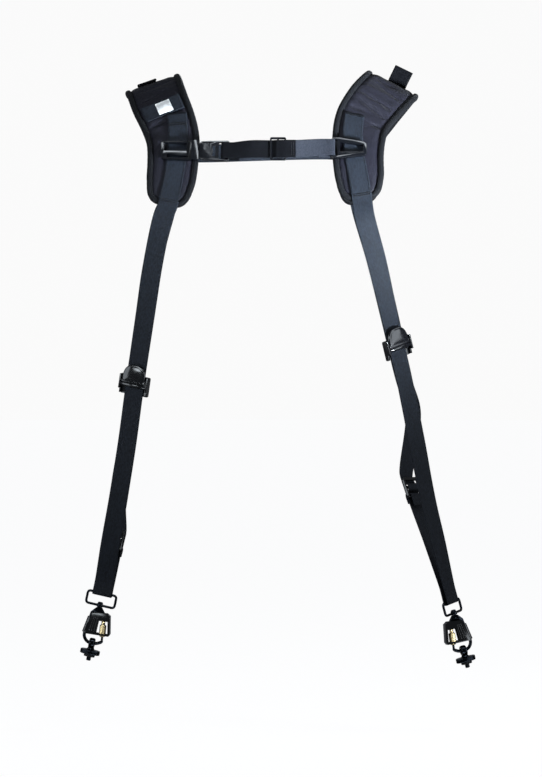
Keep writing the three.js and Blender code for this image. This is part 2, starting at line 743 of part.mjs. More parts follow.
function gate() {
  const eye = bar(
    vector(0, -GATE_DIAMETER / 2, 0), vector(0, GATE_DIAMETER / 2, 0), GATE_DIAMETER / 2 + 0.5, 12);
  const bore = bar(
    vector(0, -GATE_DIAMETER, 0), vector(0, GATE_DIAMETER, 0), GATE_PIN_DIAMETER / 2 + GAP, 12);
  const rod = bar(vector(0, 0, 0), vector(0, 0, -GATE_LENGTH), GATE_DIAMETER / 2, 10);
  return cut(join(eye, rod), bore);
}

// Threaded sleeve with its narrow collar above and the grooved grip below
function lockSleeve() {
  const bore = GATE_DIAMETER / 2 + GAP;
  const wide = SLEEVE_DIAMETER / 2;
  const collar = bore + 0.6;
  const top = SLEEVE_LENGTH;
  const grip = turned([
    [bore, 0], [wide * 0.72, 0], [wide, 2.2], [wide, top * 0.68], [collar, top * 0.74],
    [collar, top], [bore, top], [bore, 0],
  ], 2 * SLEEVE_GROOVES);
  const grooves = [];
  for (let i = 0; i < SLEEVE_GROOVES; i += 1) {
    const angle = (i / SLEEVE_GROOVES) * Math.PI * 2;
    const at = vector(Math.cos(angle) * wide, Math.sin(angle) * wide, 0);
    grooves.push(bar(at.clone().setZ(2.6), at.clone().setZ(top * 0.66), 0.5, 4));
  }
  return cut(grip, ...grooves);
}

// Cover that snaps round the hook: front and back walls, a tube round the spine, a window
function lockCover() {
  const half = COVER_CAVITY / 2 + COVER_WALL;
  const low = -COVER_BOTTOM;
  const outline = [
    [spineTop.x + 1, -9], [gateHinge.x + 3.5, -6.5], [gateHinge.x + 8, -9],
    [gateEnd.x + 9.3, low + 4.5], [gateEnd.x + 7.8, low + 1.2], [spineEnd.x + 1, low - 0.6],
  ];
  const cavity = [
    [spineTop.x + 1.4, -2], [gateHinge.x + 5.4, -2], [gateHinge.x + 5.8, -10],
    [gateEnd.x + 7, low + 1], [gateEnd.x + 7, low - 5], [spineEnd.x + 1.4, low - 5],
  ];
  const window = [
    [gateHinge.x - 5.4, -17.5], [gateHinge.x + 6.6, -16.6], [gateEnd.x + 6.4, low + 3.6],
    [gateEnd.x - 9, low + 2.8],
  ];
  const shell = plate(outline, -half, half);
  const inside = plate(cavity, -COVER_CAVITY / 2, COVER_CAVITY / 2);
  const opening = plate(window, -half - 1, half + 1);
  const line = spineEnd.clone().sub(spineTop).normalize();
  const tubeTop = spineTop.clone().addScaledVector(line, 4.6);
  const tubeEnd = spineEnd.clone().addScaledVector(line, 0.6);
  const tube = bar(tubeTop, tubeEnd, HOOK_WIRE / 2 + GAP + COVER_TUBE_WALL, 14);
  const bore = bar(
    spineTop.clone().addScaledVector(line, -6), spineEnd.clone().addScaledVector(line, 6),
    HOOK_WIRE / 2 + GAP, 12);
  const headroom = block(-20, gateHinge.x + 4.6, -COVER_CAVITY / 2, COVER_CAVITY / 2, -14.5, 0);
  return cut(join(cut(shell, inside, opening), tube), bore, headroom);
}

// Eye round the bow, disc and tripod screw. Its origin is at the middle of the eye.
const discTop = -DISC_DROP;
const discBottom = discTop - DISC_THICKNESS;

function fastener() {
  const eye = bar(
    vector(-EYE_THICKNESS / 2, 0, 0), vector(EYE_THICKNESS / 2, 0, 0), EYE_DIAMETER / 2, 20);
  const hole = bar(vector(-EYE_THICKNESS, 0, 0), vector(EYE_THICKNESS, 0, 0), EYE_HOLE_DIAMETER / 2, 16);
  const end = discBottom - WASHER_THICKNESS - GAP - SCREW_LENGTH;
  const base = turned([
    [0, end], [SCREW_DIAMETER / 2 - 0.6, end], [SCREW_DIAMETER / 2, end + 0.6],
    [SCREW_DIAMETER / 2, discBottom], [DISC_DIAMETER / 2 - 0.5, discBottom],
    [DISC_DIAMETER / 2, discBottom + 0.5], [DISC_DIAMETER / 2, discTop - 0.5],
    [DISC_DIAMETER / 2 - 0.5, discTop], [5.6, discTop], [3.4, discTop + 3.4], [0, discTop + 3.4],
  ], 24);
  return cut(join(eye, base), hole);
}

function washer() {
  const outer = WASHER_DIAMETER / 2;
  const inner = SCREW_DIAMETER / 2 + GAP;
  const top = discBottom - GAP;
  return turned([
    [inner, top - WASHER_THICKNESS], [outer, top - WASHER_THICKNESS], [outer, top], [inner, top],
    [inner, top - WASHER_THICKNESS],
  ], 24);
}

// Strap stop, in the frame of the webbing: X across, -Y the front face, Z up the strap
const camPin = vector(0, -(WEBBING_THICKNESS / 2 + CAM_PIN_STANDOFF), -6);

function camBody() {
  const half = CAM_WIDTH / 2;
  const face = WEBBING_THICKNESS / 2 + GAP;
  const inner = half - CAM_WALL;
  const wallFront = camPin.y - CAM_PIN_DIAMETER / 2 - 1;
  const backPlate = plate(roundedBox(-half, half, -19, 6, 2), face, face + CAM_WALL);
  const leftWall = block(-half, -inner, wallFront, face + 0.5, camPin.z - 6, camPin.z + 12);
  const rightWall = block(inner, half, wallFront, face + 0.5, camPin.z - 6, camPin.z + 12);
  const lowerWalls = [-1, 1].map((sign) => block(
    Math.min(sign * inner, sign * half), Math.max(sign * inner, sign * half),
    -face - CAM_WALL, face + 0.5, -18, -10));
  const pin = bar(vector(-half + 0.4, camPin.y, camPin.z), vector(half - 0.4, camPin.y, camPin.z),
    CAM_PIN_DIAMETER / 2, 10);
  return join(backPlate, leftWall, rightWall, ...lowerWalls, pin);
}

// Lever with its domed thumb plate, origin on the pin
function camLever() {
  const barrelHalf = CAM_WIDTH / 2 - CAM_WALL - GAP;
  const wide = CAM_WIDTH / 2 - 3;
  const rise = CAM_LEVER_RISE;
  const foot = CAM_PIN_DIAMETER / 2 + 2.6;
  const outline = new THREE.Shape();
  outline.moveTo(-wide + 2, foot + 1.5);
  outline.lineTo(wide - 2, foot + 1.5);
  outline.bezierCurveTo(wide, rise * 0.62, wide * 0.6, rise - 2, 0, rise - 2);
  outline.bezierCurveTo(-wide * 0.6, rise - 2, -wide, rise * 0.62, -wide + 2, foot + 1.5);
  const dome = new THREE.ExtrudeGeometry(outline, {
    depth: CAM_LEVER_THICKNESS - 3, bevelEnabled: true, bevelThickness: 1.5, bevelSize: 1.8,
    bevelSegments: 2, curveSegments: 6,
  });
  dome.rotateX(Math.PI / 2).translate(0, CAM_LEVER_THICKNESS / 2 - 1.5 - 0.9, 0);
  const arm = block(-barrelHalf + 1, barrelHalf - 1, -CAM_LEVER_THICKNESS / 2 - 0.4, 0.6, 0, foot + 4);
  const barrel = bar(vector(-barrelHalf, 0, 0), vector(barrelHalf, 0, 0), CAM_PIN_DIAMETER / 2 + 1.4, 12);
  const bore = bar(
    vector(-CAM_WIDTH, 0, 0), vector(CAM_WIDTH, 0, 0), CAM_PIN_DIAMETER / 2 + GAP, 12);
  return cut(join(dome, arm, barrel), bore);
}

// Ladder-shaped adjuster: two outer bars and a middle bar
function ladderLock() {
  const [half, high] = [LADDER_WIDTH / 2, LADDER_HEIGHT / 2];
  const slotHalf = WEBBING_WIDTH / 2 + 1;
  const slot = (low, top) => roundedBox(-slotHalf, slotHalf, low, top, 1);
  const outline = roundedBox(-half, half, -high, high, 4);
  return plate(outline, -LADDER_BAR / 2, LADDER_BAR / 2,
    [slot(-high + LADDER_BAR, -LADDER_BAR / 2), slot(LADDER_BAR / 2, high - LADDER_BAR)]);
}

// Chest buckle, X along the chest strap, -Y the front, origin at the middle of the pad webbing
const buckleBack = -(WEBBING_THICKNESS / 2 + GAP + FITTING_STANDOFF);
const buckleFront = buckleBack - BUCKLE_THICKNESS;
const frameEnd = BUCKLE_FRAME_LENGTH / 2;
const seatFace = -(WEBBING_THICKNESS / 2 + GAP);

// Rib behind a fitting that bears on the pad webbing
function seatRib(x0, x1, z0, z1) {
  return block(x0, x1, buckleBack - 0.5, seatFace, z0, z1);
}

const socketEnd = frameEnd + BUCKLE_SOCKET_LENGTH;
const maleEnd = socketEnd + GAP + BUCKLE_MALE_LENGTH;
const ladderPitch = 7;

function buckleFemale() {
  const high = BUCKLE_HEIGHT / 2;
  const frame = plate([
    [-frameEnd, -high * 0.7], [-frameEnd + 3, -high * 0.95], [frameEnd + 1, -high], [frameEnd + 1, high],
    [-frameEnd + 2, high * 0.95], [-frameEnd, high * 0.8],
  ], buckleFront, buckleBack, [
    roundedBox(-frameEnd + 4, frameEnd - 6, -1, high - 3, 1),
    [[-frameEnd + 8, -high + 2.4], [frameEnd - 4, -high + 3.2], [frameEnd - 4, -high + 5.2],
      [-frameEnd + 8, -high + 8]],
  ]);
  const socketFront = buckleBack - BUCKLE_SOCKET_THICKNESS;
  const socket = block(frameEnd, socketEnd, socketFront, buckleBack, -high, high);
  const hollow = block(frameEnd + 1.6, socketEnd + 1, socketFront + 1.4, buckleBack - 1.4,
    -high + 2.4, high - 2.4);
  const ribs = [seatRib(-10, 10, -4.4, -1.4), seatRib(-10, 10, high - 2.4, high - 0.8)];
  return cut(join(frame, socket, ...ribs), hollow);
}

function buckleMale() {
  const high = BUCKLE_HEIGHT / 2;
  const start = socketEnd + GAP;
  const middle = buckleBack - BUCKLE_SOCKET_THICKNESS / 2;
  const half = BUCKLE_THICKNESS / 2 - 0.2;
  const slotHigh = CHEST_WEBBING_WIDTH / 2 + 0.6;
  const end = maleEnd;
  const body = plate([
    [start, -high + 4], [start + 3, -high + 1], [start + 14, -high], [end - 2, -high - 0.8],
    [end, -high + 0.6], [end, high - 0.6], [end - 2, high + 0.8], [start + 14, high],
    [start + 3, high - 1], [start, high - 4],
  ], middle - half, middle + half, [
    [[start + 4, high - 2.8], [start + 12, high - 3.4], [start + 12, high - 1.6], [start + 5, high - 1.8]],
    [[start + 4, -high + 2.8], [start + 5, -high + 1.8], [start + 12, -high + 1.6],
      [start + 12, -high + 3.4]],
    [[start + 16, -6.5], [start + 20.5, -8.5], [start + 20.5, 8.5], [start + 16, 6.5], [start + 17.6, 0]],
    roundedBox(end - 2 * ladderPitch + 1, end - ladderPitch - 1.4, -slotHigh, slotHigh, 0.8),
    roundedBox(end - ladderPitch + 1.4, end - 2, -slotHigh, slotHigh, 0.8),
  ]);
  const tongue = block(frameEnd + 2.4, start + 2, middle - half + 0.4, middle + half - 0.4,
    -high + 4.4, high - 4.4);
  return join(body, tongue);
}

// Slider on the right pad, tip towards the arm, loop bar towards the chest
function chestSlider() {
  const [half, high, tip] = [SLIDER_LENGTH / 2, SLIDER_HEIGHT / 2, SLIDER_TIP_HEIGHT / 2];
  const slotHigh = CHEST_WEBBING_WIDTH / 2 + 0.6;
  const frame = plate([
    [-half, -high + 2], [-half + 2, -high], [-half + 10, -high], [half - 2, -tip], [half, -tip + 2],
    [half, tip - 2], [half - 2, tip], [-half + 10, high], [-half + 2, high], [-half, high - 2],
  ], buckleFront, buckleBack, [
    roundedBox(-half + 3, -half + 7.4, -slotHigh, slotHigh, 1),
    [[-half + 11, -5.6], [half - 4.5, -5], [half - 4.5, 5], [-half + 11, 8]],
  ]);
  return join(frame, seatRib(-4, 14, -8.4, -6.2), seatRib(-4, 6, 8.2, 10.2));
}

// Three-bar slide of the chest strap, its bars along Z
function triglide() {
  const reach = TRIGLIDE_PITCH + TRIGLIDE_BAR / 2;
  const high = TRIGLIDE_HEIGHT / 2;
  const slotHigh = CHEST_WEBBING_WIDTH / 2 + 0.8;
  const slot = (x0, x1) => roundedBox(x0, x1, -slotHigh, slotHigh, 0.6);
  const half = TRIGLIDE_BAR / 2;
  return plate(roundedBox(-reach, reach, -high, high, 2), -half, half, [
    slot(-TRIGLIDE_PITCH + half, -half), slot(half, TRIGLIDE_PITCH - half),
  ]);
}

const object = new THREE.Group();
const arches = { left: padArch('left'), right: padArch('right') };

function addPad(name) {
  const arch = arches[name];
  object.add(piece(`${name}_shoulder_pad`, padBody(arch), fabric));
  object.add(piece(`${name}_pad_binding`, padBinding(arch), bindingCloth));
}

function addWebbing(name) {
  const arch = arches[name];
  const sling = ribbon(slingStations(name, arch), WEBBING_WIDTH, WEBBING_THICKNESS);
  const rear = ribbon(rearStations(name, arch), WEBBING_WIDTH, WEBBING_THICKNESS);
  object.add(piece(`${name}_sling_webbing`, sling, webbing));
  object.add(piece(`${name}_rear_webbing`, rear, webbing));
  object.add(placed(ladderFrame(name), piece(`${name}_ladder_lock`, ladderLock(), plastic)));
}

function addTab(name) {
  const arch = arches[name];
  const side = SIDES[name];
  const floor = BINDING_THICKNESS / 2 + GAP + TAB_THICKNESS / 2;
  const top = 0.53;
  const reach = TAB_LENGTH / arch.length / 2;
  const station = (along) => ({
    centre: onPad(arch, along, side.tabOffset, floor),
    normal: arch.frame(along).normal,
    steps: 2,
  });
  const risen = (rise) => ({
    centre: onPad(arch, top, side.tabOffset, floor + rise),
    normal: arch.frame(top).tangent,
    steps: 2,
  });
  const standing = [station(top + reach), station(top + reach * 0.3), risen(3), risen(TAB_RISE)];
  const stations = side.tabStands ? standing : [station(top + reach), station(top), station(top - reach)];
  object.add(piece(`${name}_shoulder_tab`, ribbon(stations, WEBBING_WIDTH, TAB_THICKNESS), webbing));
}

function addLabel() {
  const arch = arches.left;
  const along = LABEL_ALONG;
  const lift = PAD_THICKNESS / 2 + GAP + LABEL_BAND_THICKNESS / 2;
  const frame = arch.frame(along);
  const reach = frame.width / 2 - BINDING_WIDTH - 2;
  const stations = [-1, 0, 1].map((share) => ({
    centre: onPad(arch, along, share * reach, lift),
    normal: frame.normal.clone().negate(),
    steps: 1,
  }));
  object.add(piece('left_label_band', ribbon(stations, LABEL_BAND_WIDTH, LABEL_BAND_THICKNESS), webbing));
  const labelLift = lift + LABEL_BAND_THICKNESS / 2 + GAP;
  const centre = onPad(arch, along, LABEL_OFFSET, labelLift);
  const label = block(-LABEL_WIDTH / 2, LABEL_WIDTH / 2, -LABEL_THICKNESS, 0,
    -LABEL_HEIGHT / 2, LABEL_HEIGHT / 2);
  object.add(placed(frameAt(centre, frame.across, frame.normal), piece('blank_label', label, labelCloth)));
}

function addCam(name) {
  const frames = ribbonFrames(slingStations(name, arches[name]));
  const side = SIDES[name];
  const route = routeStations(name, FRONT_ROUTE[name], CHEST_DEPTH);
  const height = THREE.MathUtils.lerp(route[0].centre.z, -side.hookDrop, side.cam);
  const below = frames.findIndex((frame) => frame.centre.z < height);
  const [a, b] = [frames[below - 1], frames[below]];
  const share = (a.centre.z - height) / (a.centre.z - b.centre.z);
  const centre = a.centre.clone().lerp(b.centre, share);
  const normal = a.normal.clone().lerp(b.normal, share).normalize();
  const across = a.across.clone().lerp(b.across, share).negate();
  across.addScaledVector(normal, -across.dot(normal)).normalize();
  const lever = piece(`${name}_cam_lever`, camLever(), plastic);
  lever.position.copy(camPin);
  object.add(placed(frameAt(centre, across, normal), piece(`${name}_cam_body`, camBody(), plastic), lever));
}

function addHook(name) {
  const side = SIDES[name];
  object.add(placed(ringFrame(name), piece(`${name}_swivel_ring`, swivelRing(), blackMetal)));
  const group = new THREE.Group();
  group.applyMatrix4(chainFrame(name));
  group.translateZ(-RING_HEIGHT / 2);
  group.rotateZ(side.sign < 0 ? radians(-side.hookTurn) : Math.PI + radians(side.hookTurn));
  const rod = piece(`${name}_gate`, gate(), blackMetal);
  rod.position.copy(gateHinge);
  rod.rotation.y = radians(-GATE_LEAN);
  const sleeve = piece(`${name}_lock_sleeve`, lockSleeve(), brass);
  sleeve.position.copy(gateEnd);
  sleeve.rotation.y = radians(-GATE_LEAN);
  const screw = new THREE.Group();
  screw.position.set(0, 0, -HOOK_LENGTH);
  screw.add(piece(`${name}_fastener`, fastener(), blackMetal));
  screw.add(piece(`${name}_washer`, washer(), rubber));
  group.add(piece(`${name}_carabiner`, hook(), blackMetal), rod, sleeve);
  group.add(piece(`${name}_lock_cover`, lockCover(), plastic), screw);
  object.add(group);
}

// Frame of a chest fitting that rides on the pad webbing
function fittingFrame(name, along, offset) {
  const arch = arches[name];
  const frame = arch.frame(along);
  return frameAt(onPad(arch, along, offset, padRunLift), frame.across, frame.normal);
}

function addChestStrap() {
  const buckleFrame = fittingFrame('left', 0.162, 4);
  const sliderFrame = fittingFrame('right', 0.148, -12);
  object.add(placed(buckleFrame,
    piece('buckle_female', buckleFemale(), plastic), piece('buckle_male', buckleMale(), plastic)));
  object.add(placed(sliderFrame, piece('chest_slider', chestSlider(), plastic)));

  const glideCentre = vector(TRIGLIDE_OUT, -CHEST_STRAP_DEPTH, -CHEST_STRAP_DROP);
  const glideFrame = new THREE.Matrix4().setPosition(glideCentre);
  object.add(placed(glideFrame, piece('triglide', triglide(), plastic)));

  const barMiddle = buckleBack - BUCKLE_SOCKET_THICKNESS / 2;
  const quarter = Math.PI / 2;
  const maleBar = buckleFrame.clone()
    .multiply(new THREE.Matrix4().makeTranslation(maleEnd - ladderPitch, barMiddle, 0))
    .multiply(new THREE.Matrix4().makeRotationY(quarter));
  const woven = (x, y) => ({
    centre: vector(x, y, 0).applyMatrix4(glideFrame),
    normal: vector(0, -1, 0),
    steps: 2,
  });
  const glideLift = TRIGLIDE_BAR / 2 + GAP + CHEST_WEBBING_THICKNESS / 2;
  const topLift = glideLift + CHEST_WEBBING_THICKNESS + GAP;
  const maleBarSize = { width: 2.8, thickness: BUCKLE_THICKNESS };
  const chest = foldStations(maleBar, maleBarSize, CHEST_WEBBING_THICKNESS, 12, 20).reverse();
  chest[chest.length - 1].steps = 3;
  const chestStations = chest.concat([
    woven(-32, 1.2),
    woven(-TRIGLIDE_PITCH - 3, glideLift + 0.2),
    woven(-TRIGLIDE_PITCH * 0.8, glideLift),
    woven(-TRIGLIDE_PITCH * 0.2, -glideLift),
    woven(0, -glideLift - 0.1),
    woven(TRIGLIDE_PITCH, -topLift - 0.4),
    woven(FREE_END_LENGTH, -topLift - 0.4),
  ]);
  object.add(piece('chest_webbing',
    ribbon(chestStations, CHEST_WEBBING_WIDTH, CHEST_WEBBING_THICKNESS), webbing));

  const glideBar = glideFrame.clone()
    .multiply(new THREE.Matrix4().makeTranslation(TRIGLIDE_PITCH, 0, 0))
    .multiply(new THREE.Matrix4().makeRotationY(quarter));
  const sliderBar = sliderFrame.clone()
    .multiply(new THREE.Matrix4().makeTranslation(-SLIDER_LENGTH / 2 + 1.5, (buckleFront + buckleBack) / 2, 0))
    .multiply(new THREE.Matrix4().makeRotationY(-quarter));
  const glideBarSize = { width: TRIGLIDE_BAR, thickness: TRIGLIDE_BAR };
  const sliderBarSize = { width: 3, thickness: BUCKLE_THICKNESS };
  const start = foldStations(glideBar, glideBarSize, CHEST_WEBBING_THICKNESS, 14, 16).reverse();
  const end = foldStations(sliderBar, sliderBarSize, CHEST_WEBBING_THICKNESS, 9, 18);
  start[start.length - 1].steps = 3;
  object.add(piece('elastic_webbing',
    ribbon(start.concat(end), CHEST_WEBBING_WIDTH, CHEST_WEBBING_THICKNESS), elastic));
}

function addRearStrap() {
  const along = 0.84;
  const lift = BINDING_THICKNESS / 2 + GAP + WEBBING_THICKNESS / 2;
  const left = arches.left.frame(along);
  const right = arches.right.frame(along);
  const stations = [
    { centre: onPad(arches.left, along, 0, lift), normal: left.normal, steps: 2 },
    { centre: onPad(arches.left, along, PAD_WIDTH / 2 + 4, lift), normal: left.normal, steps: 4 },
    { centre: onPad(arches.right, along, -PAD_WIDTH / 2 - 4, lift), normal: right.normal, steps: 2 },
    { centre: onPad(arches.right, along, 0, lift), normal: right.normal, steps: 1 },
  ];
  object.add(piece('rear_cross_strap', ribbon(stations, WEBBING_WIDTH, WEBBING_THICKNESS), webbing));
}

for (const name of ['left', 'right']) {
  addPad(name);
  addWebbing(name);
  addTab(name);
  addCam(name);
  addHook(name);
}
addLabel();
addChestStrap();
addRearStrap();

export default object;
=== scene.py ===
"""Dual camera harness, dressed for a plain studio picture.

Two padded shoulder pads carry a chest strap and, on each side, a webbing sling with a swivel hook
and a screw fastener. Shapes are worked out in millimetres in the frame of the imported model: Z is
up, the wearer faces -Y, and left is the left of a viewer who faces the front.
"""

from __future__ import annotations

import logging
import math
from collections.abc import Callable, Sequence
from dataclasses import dataclass, field
from enum import Enum

import bmesh
import bpy
from mathutils import Matrix, Vector, noise


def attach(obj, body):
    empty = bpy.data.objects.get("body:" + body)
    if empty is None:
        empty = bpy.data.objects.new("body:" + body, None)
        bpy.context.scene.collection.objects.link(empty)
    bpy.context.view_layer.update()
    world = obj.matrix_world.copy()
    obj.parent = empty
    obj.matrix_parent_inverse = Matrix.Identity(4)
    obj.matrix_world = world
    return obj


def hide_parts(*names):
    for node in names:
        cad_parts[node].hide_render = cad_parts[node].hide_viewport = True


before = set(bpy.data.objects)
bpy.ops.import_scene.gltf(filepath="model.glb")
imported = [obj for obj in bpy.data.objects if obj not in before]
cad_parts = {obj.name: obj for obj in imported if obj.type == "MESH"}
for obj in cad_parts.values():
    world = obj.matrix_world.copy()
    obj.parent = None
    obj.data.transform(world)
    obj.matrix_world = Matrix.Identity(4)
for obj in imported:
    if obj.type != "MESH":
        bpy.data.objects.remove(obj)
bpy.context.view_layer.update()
LOG = logging.getLogger("harness")

MM = 0.001
GAP = 0.3
UV_NAME = "cloth"


class Side(Enum):
    """The viewer's left and right, with the sign of X there."""

    LEFT = -1
    RIGHT = 1

    @property
    def word(self) -> str:
        """Prefix of the side's node names."""
        return self.name.lower()


# Finishes


def linear(hex_value: str) -> tuple[float, float, float, float]:
    """Turns an sRGB hex value into a linear colour.

    Args:
        hex_value: Six hex digits after a hash.

    Returns:
        Red, green, blue and alpha.
    """
    channels = [int(hex_value[i : i + 2], 16) / 255 for i in (1, 3, 5)]
    curve = [c / 12.92 if c <= 0.04045 else ((c + 0.055) / 1.055) ** 2.4 for c in channels]
    return (curve[0], curve[1], curve[2], 1.0)


def add_node(
    tree: bpy.types.NodeTree,
    kind: str,
    settings: dict[str, object] | None = None,
    links: dict[str | int, bpy.types.NodeSocket] | None = None,
) -> bpy.types.Node:
    """Adds one shader node with its settings and links.

    Args:
        tree: The node tree.
        kind: Node type after "ShaderNode".
        settings: Values by name; names in lower case are the node's own, others its inputs.
        links: Output sockets by the input that they feed.

    Returns:
        The new node.
    """
    node = tree.nodes.new("ShaderNode" + kind)
    for name, value in (settings or {}).items():
        if name[0].islower():
            setattr(node, name, value)
        else:
            node.inputs[name].default_value = value
    for name, socket in (links or {}).items():
        tree.links.new(socket, node.inputs[name])
    return node


@dataclass(frozen=True)
class Finish:
    """A surface: its colours, its typical shader values and a slot name, which nothing in this script reads.
    """

    name: str
    slot: str
    light: str
    dark: str
    roughness: float
    ior: float = 1.5

    def material(self) -> bpy.types.Material:
        """The finish's material, made once."""
        known = bpy.data.materials.get(self.name)
        if known is not None and known.use_nodes and known.get("dressed"):
            return known
        material = bpy.data.materials.new(self.name)
        material.use_nodes = True
        material["dressed"] = True
        tree = material.node_tree
        tree.nodes.clear()
        shader = add_node(tree, "BsdfPrincipled", {"Roughness": self.roughness, "IOR": self.ior})
        self.dress(tree, shader)
        add_node(tree, "OutputMaterial", links={"Surface": shader.outputs["BSDF"]})
        material.diffuse_color = linear(self.light)
        return material

    def dress(self, tree: bpy.types.NodeTree, shader: bpy.types.Node) -> None:
        """Adds the surface's colour and relief nodes.

        Args:
            tree: The material's node tree.
            shader: The principled shader to feed.
        """
        raise NotImplementedError


@dataclass(frozen=True)
class WovenCloth(Finish):
    """Woven cloth: yarn floats along the cloth in rows set half a float apart, with painted shade between
    rows.
    """

    float_length: float = 2.4
    row_pitch: float = 1.0
    relief: float = 0.14
    sheen: float = 0.25
    patch: float = 22.0
    variation: float = 0.35
    specular: float = 0.12

    def dress(self, tree: bpy.types.NodeTree, shader: bpy.types.Node) -> None:
        """Adds the weave with painted shade in its gaps, its uneven dye and its relief.

        Args:
            tree: The material's node tree.
            shader: The principled shader to feed.
        """
        place = add_node(tree, "UVMap", {"uv_map": UV_NAME})
        weave = add_node(
            tree,
            "TexBrick",
            {
                "offset": 0.5,
                "Color1": linear(self.light),
                "Color2": linear(self.dark),
                # the gaps between yarn rows take the dark colour: painted shade in the recesses
                "Mortar": linear(self.dark),
                "Scale": 1.0,
                "Mortar Size": self.row_pitch * 0.16,
                "Mortar Smooth": 1.0,
                "Bias": 0.0,
                "Brick Width": self.float_length,
                "Row Height": self.row_pitch,
            },
            {"Vector": place.outputs["UV"]},
        )
        space = add_node(tree, "TexCoord")
        dye = add_node(
            tree,
            "TexNoise",
            {"Scale": 1000 / self.patch, "Detail": 5.0, "Roughness": 0.6},
            {"Vector": space.outputs["Object"]},
        )
        shade = add_node(
            tree,
            "MapRange",
            {"From Min": 0.3, "From Max": 0.7, "To Min": 1 - self.variation, "To Max": 1 + self.variation},
            {"Value": dye.outputs["Fac"]},
        )
        tint = add_node(
            tree,
            "VectorMath",
            {"operation": "SCALE"},
            {0: weave.outputs["Color"], "Scale": shade.outputs["Result"]},
        )
        fuzz = add_node(
            tree,
            "TexNoise",
            {"Scale": 1600.0, "Detail": 3.0},
            {"Vector": space.outputs["Object"]},
        )
        height = add_node(
            tree,
            "Math",
            {"operation": "SUBTRACT"},
            {0: fuzz.outputs["Fac"], 1: weave.outputs["Fac"]},
        )
        bump = add_node(
            tree,
            "Bump",
            {"Strength": 0.8, "Distance": self.relief * MM},
            {"Height": height.outputs["Value"]},
        )
        tree.links.new(tint.outputs["Vector"], shader.inputs["Base Color"])
        tree.links.new(bump.outputs["Normal"], shader.inputs["Normal"])
        shader.inputs["Specular IOR Level"].default_value = self.specular
        shader.inputs["Sheen Weight"].default_value = self.sheen
        shader.inputs["Sheen Roughness"].default_value = 0.45


@dataclass(frozen=True)
class SmoothSurface(Finish):
    """Moulded, plated, turned or cast surface with faint handling marks."""

    metallic: float = 0.0
    grain: float = 0.25
    relief: float = 0.012
    scuff: float = 9.0
    spread: float = 0.1
    coat: float = 0.0

    def dress(self, tree: bpy.types.NodeTree, shader: bpy.types.Node) -> None:
        """Adds uneven gloss, faint grain and slightly rubbed colour.

        Args:
            tree: The material's node tree.
            shader: The principled shader to feed.
        """
        space = add_node(tree, "TexCoord")
        marks = add_node(
            tree,
            "TexNoise",
            {"Scale": 1000 / self.scuff, "Detail": 6.0, "Roughness": 0.65},
            {"Vector": space.outputs["Object"]},
        )
        gloss = add_node(
            tree,
            "MapRange",
            {
                "From Min": 0.35,
                "From Max": 0.65,
                "To Min": max(self.roughness - self.spread, 0.02),
                "To Max": self.roughness + self.spread,
            },
            {"Value": marks.outputs["Fac"]},
        )
        colour = add_node(
            tree,
            "Mix",
            {"data_type": "RGBA"},
            {0: marks.outputs["Fac"]},
        )
        colour.inputs[6].default_value = linear(self.dark)
        colour.inputs[7].default_value = linear(self.light)
        grain = add_node(
            tree,
            "TexNoise",
            {"Scale": 1000 / self.grain, "Detail": 2.0},
            {"Vector": space.outputs["Object"]},
        )
        bump = add_node(
            tree,
            "Bump",
            {"Strength": 0.5, "Distance": self.relief * MM},
            {"Height": grain.outputs["Fac"]},
        )
        tree.links.new(gloss.outputs["Result"], shader.inputs["Roughness"])
        tree.links.new(colour.outputs[2], shader.inputs["Base Color"])
        tree.links.new(bump.outputs["Normal"], shader.inputs["Normal"])
        shader.inputs["Metallic"].default_value = self.metallic
        shader.inputs["Coat Weight"].default_value = self.coat


# Nylon webbing, woven tight: satin ribs of yarn, slightly blue black, with painted shade between the raised
# yarn
NYLON_WEBBING = WovenCloth(
    "nylon_webbing_woven", "webbing", "#1f252f", "#12161d", 0.62, 1.53, 2.6, 0.95, 0.12, 0.02, 40, 0.05)
# Nylon webbing, woven finer for the chest and the shoulder tabs: near black and dull
CHEST_WEBBING = WovenCloth(
    "nylon_webbing_fine", "webbing", "#08090e", "#050609", 0.75, 1.53, 1.8, 0.8, 0.1, 0.015, 40, 0.05,
    specular=0.05)
# Polyester elastic, woven over rubber: greyer and softer, with close cross ribs
ELASTIC_TAPE = WovenCloth(
    "polyester_elastic_woven", "elastic_webbing", "#2b2f38", "#1d2028", 0.7, 1.5, 1.2, 1.6, 0.14, 0.03, 30,
    0.08)
# Oxford nylon cloth, woven plain over foam: dull and even, with a soft bloom at grazing angles
PAD_CLOTH = WovenCloth(
    "nylon_oxford_woven", "pad_fabric", "#1c1c27", "#101018", 0.55, 1.53, 0.9, 0.45, 0.08, 0.03, 30, 0.1)
# Knitted nylon binding, rolled over a foam edge: darker than the cloth, with a soft line of light
BINDING_CLOTH = WovenCloth(
    "nylon_binding_knitted", "pad_binding", "#0b0d13", "#06070a", 0.7, 1.53, 1.1, 0.7, 0.08, 0.03, 16, 0.1)
# Damask polyester label, woven and heat cut: plain white with a silky face
LABEL_CLOTH = WovenCloth(
    "polyester_damask_woven", "label_cloth", "#eef0f0", "#dfe1e2", 0.6, 1.5, 0.8, 0.35, 0.05, 0.1, 12, 0.04)
# Bonded polyester thread, twisted: small dark ticks on the cloth with a waxed shine; sewn thick and close
# across the slings' sewn ends, it also paints a seam shade line
SEWING_THREAD = WovenCloth(
    "polyester_thread_bonded", "webbing", "#0b0c10", "#06070a", 0.5, 1.5, 1.4, 0.4, 0.05, 0.05, 10, 0.1)
# Acetal, moulded and polished: near black with a clear, slightly soft reflection
MOULDED_ACETAL = SmoothSurface(
    "acetal_moulded", "black_plastic", "#0b0d12", "#06070a", 0.14, 1.48, 0.0, 0.4, 0.006, 11, 0.05)
# Steel, black nickel plated: dark mirror with soft wear
BLACK_STEEL = SmoothSurface(
    "steel_black_nickel", "black_metal", "#1f2227", "#101216", 0.12, 1.5, 1.0, 0.3, 0.004, 6, 0.05)
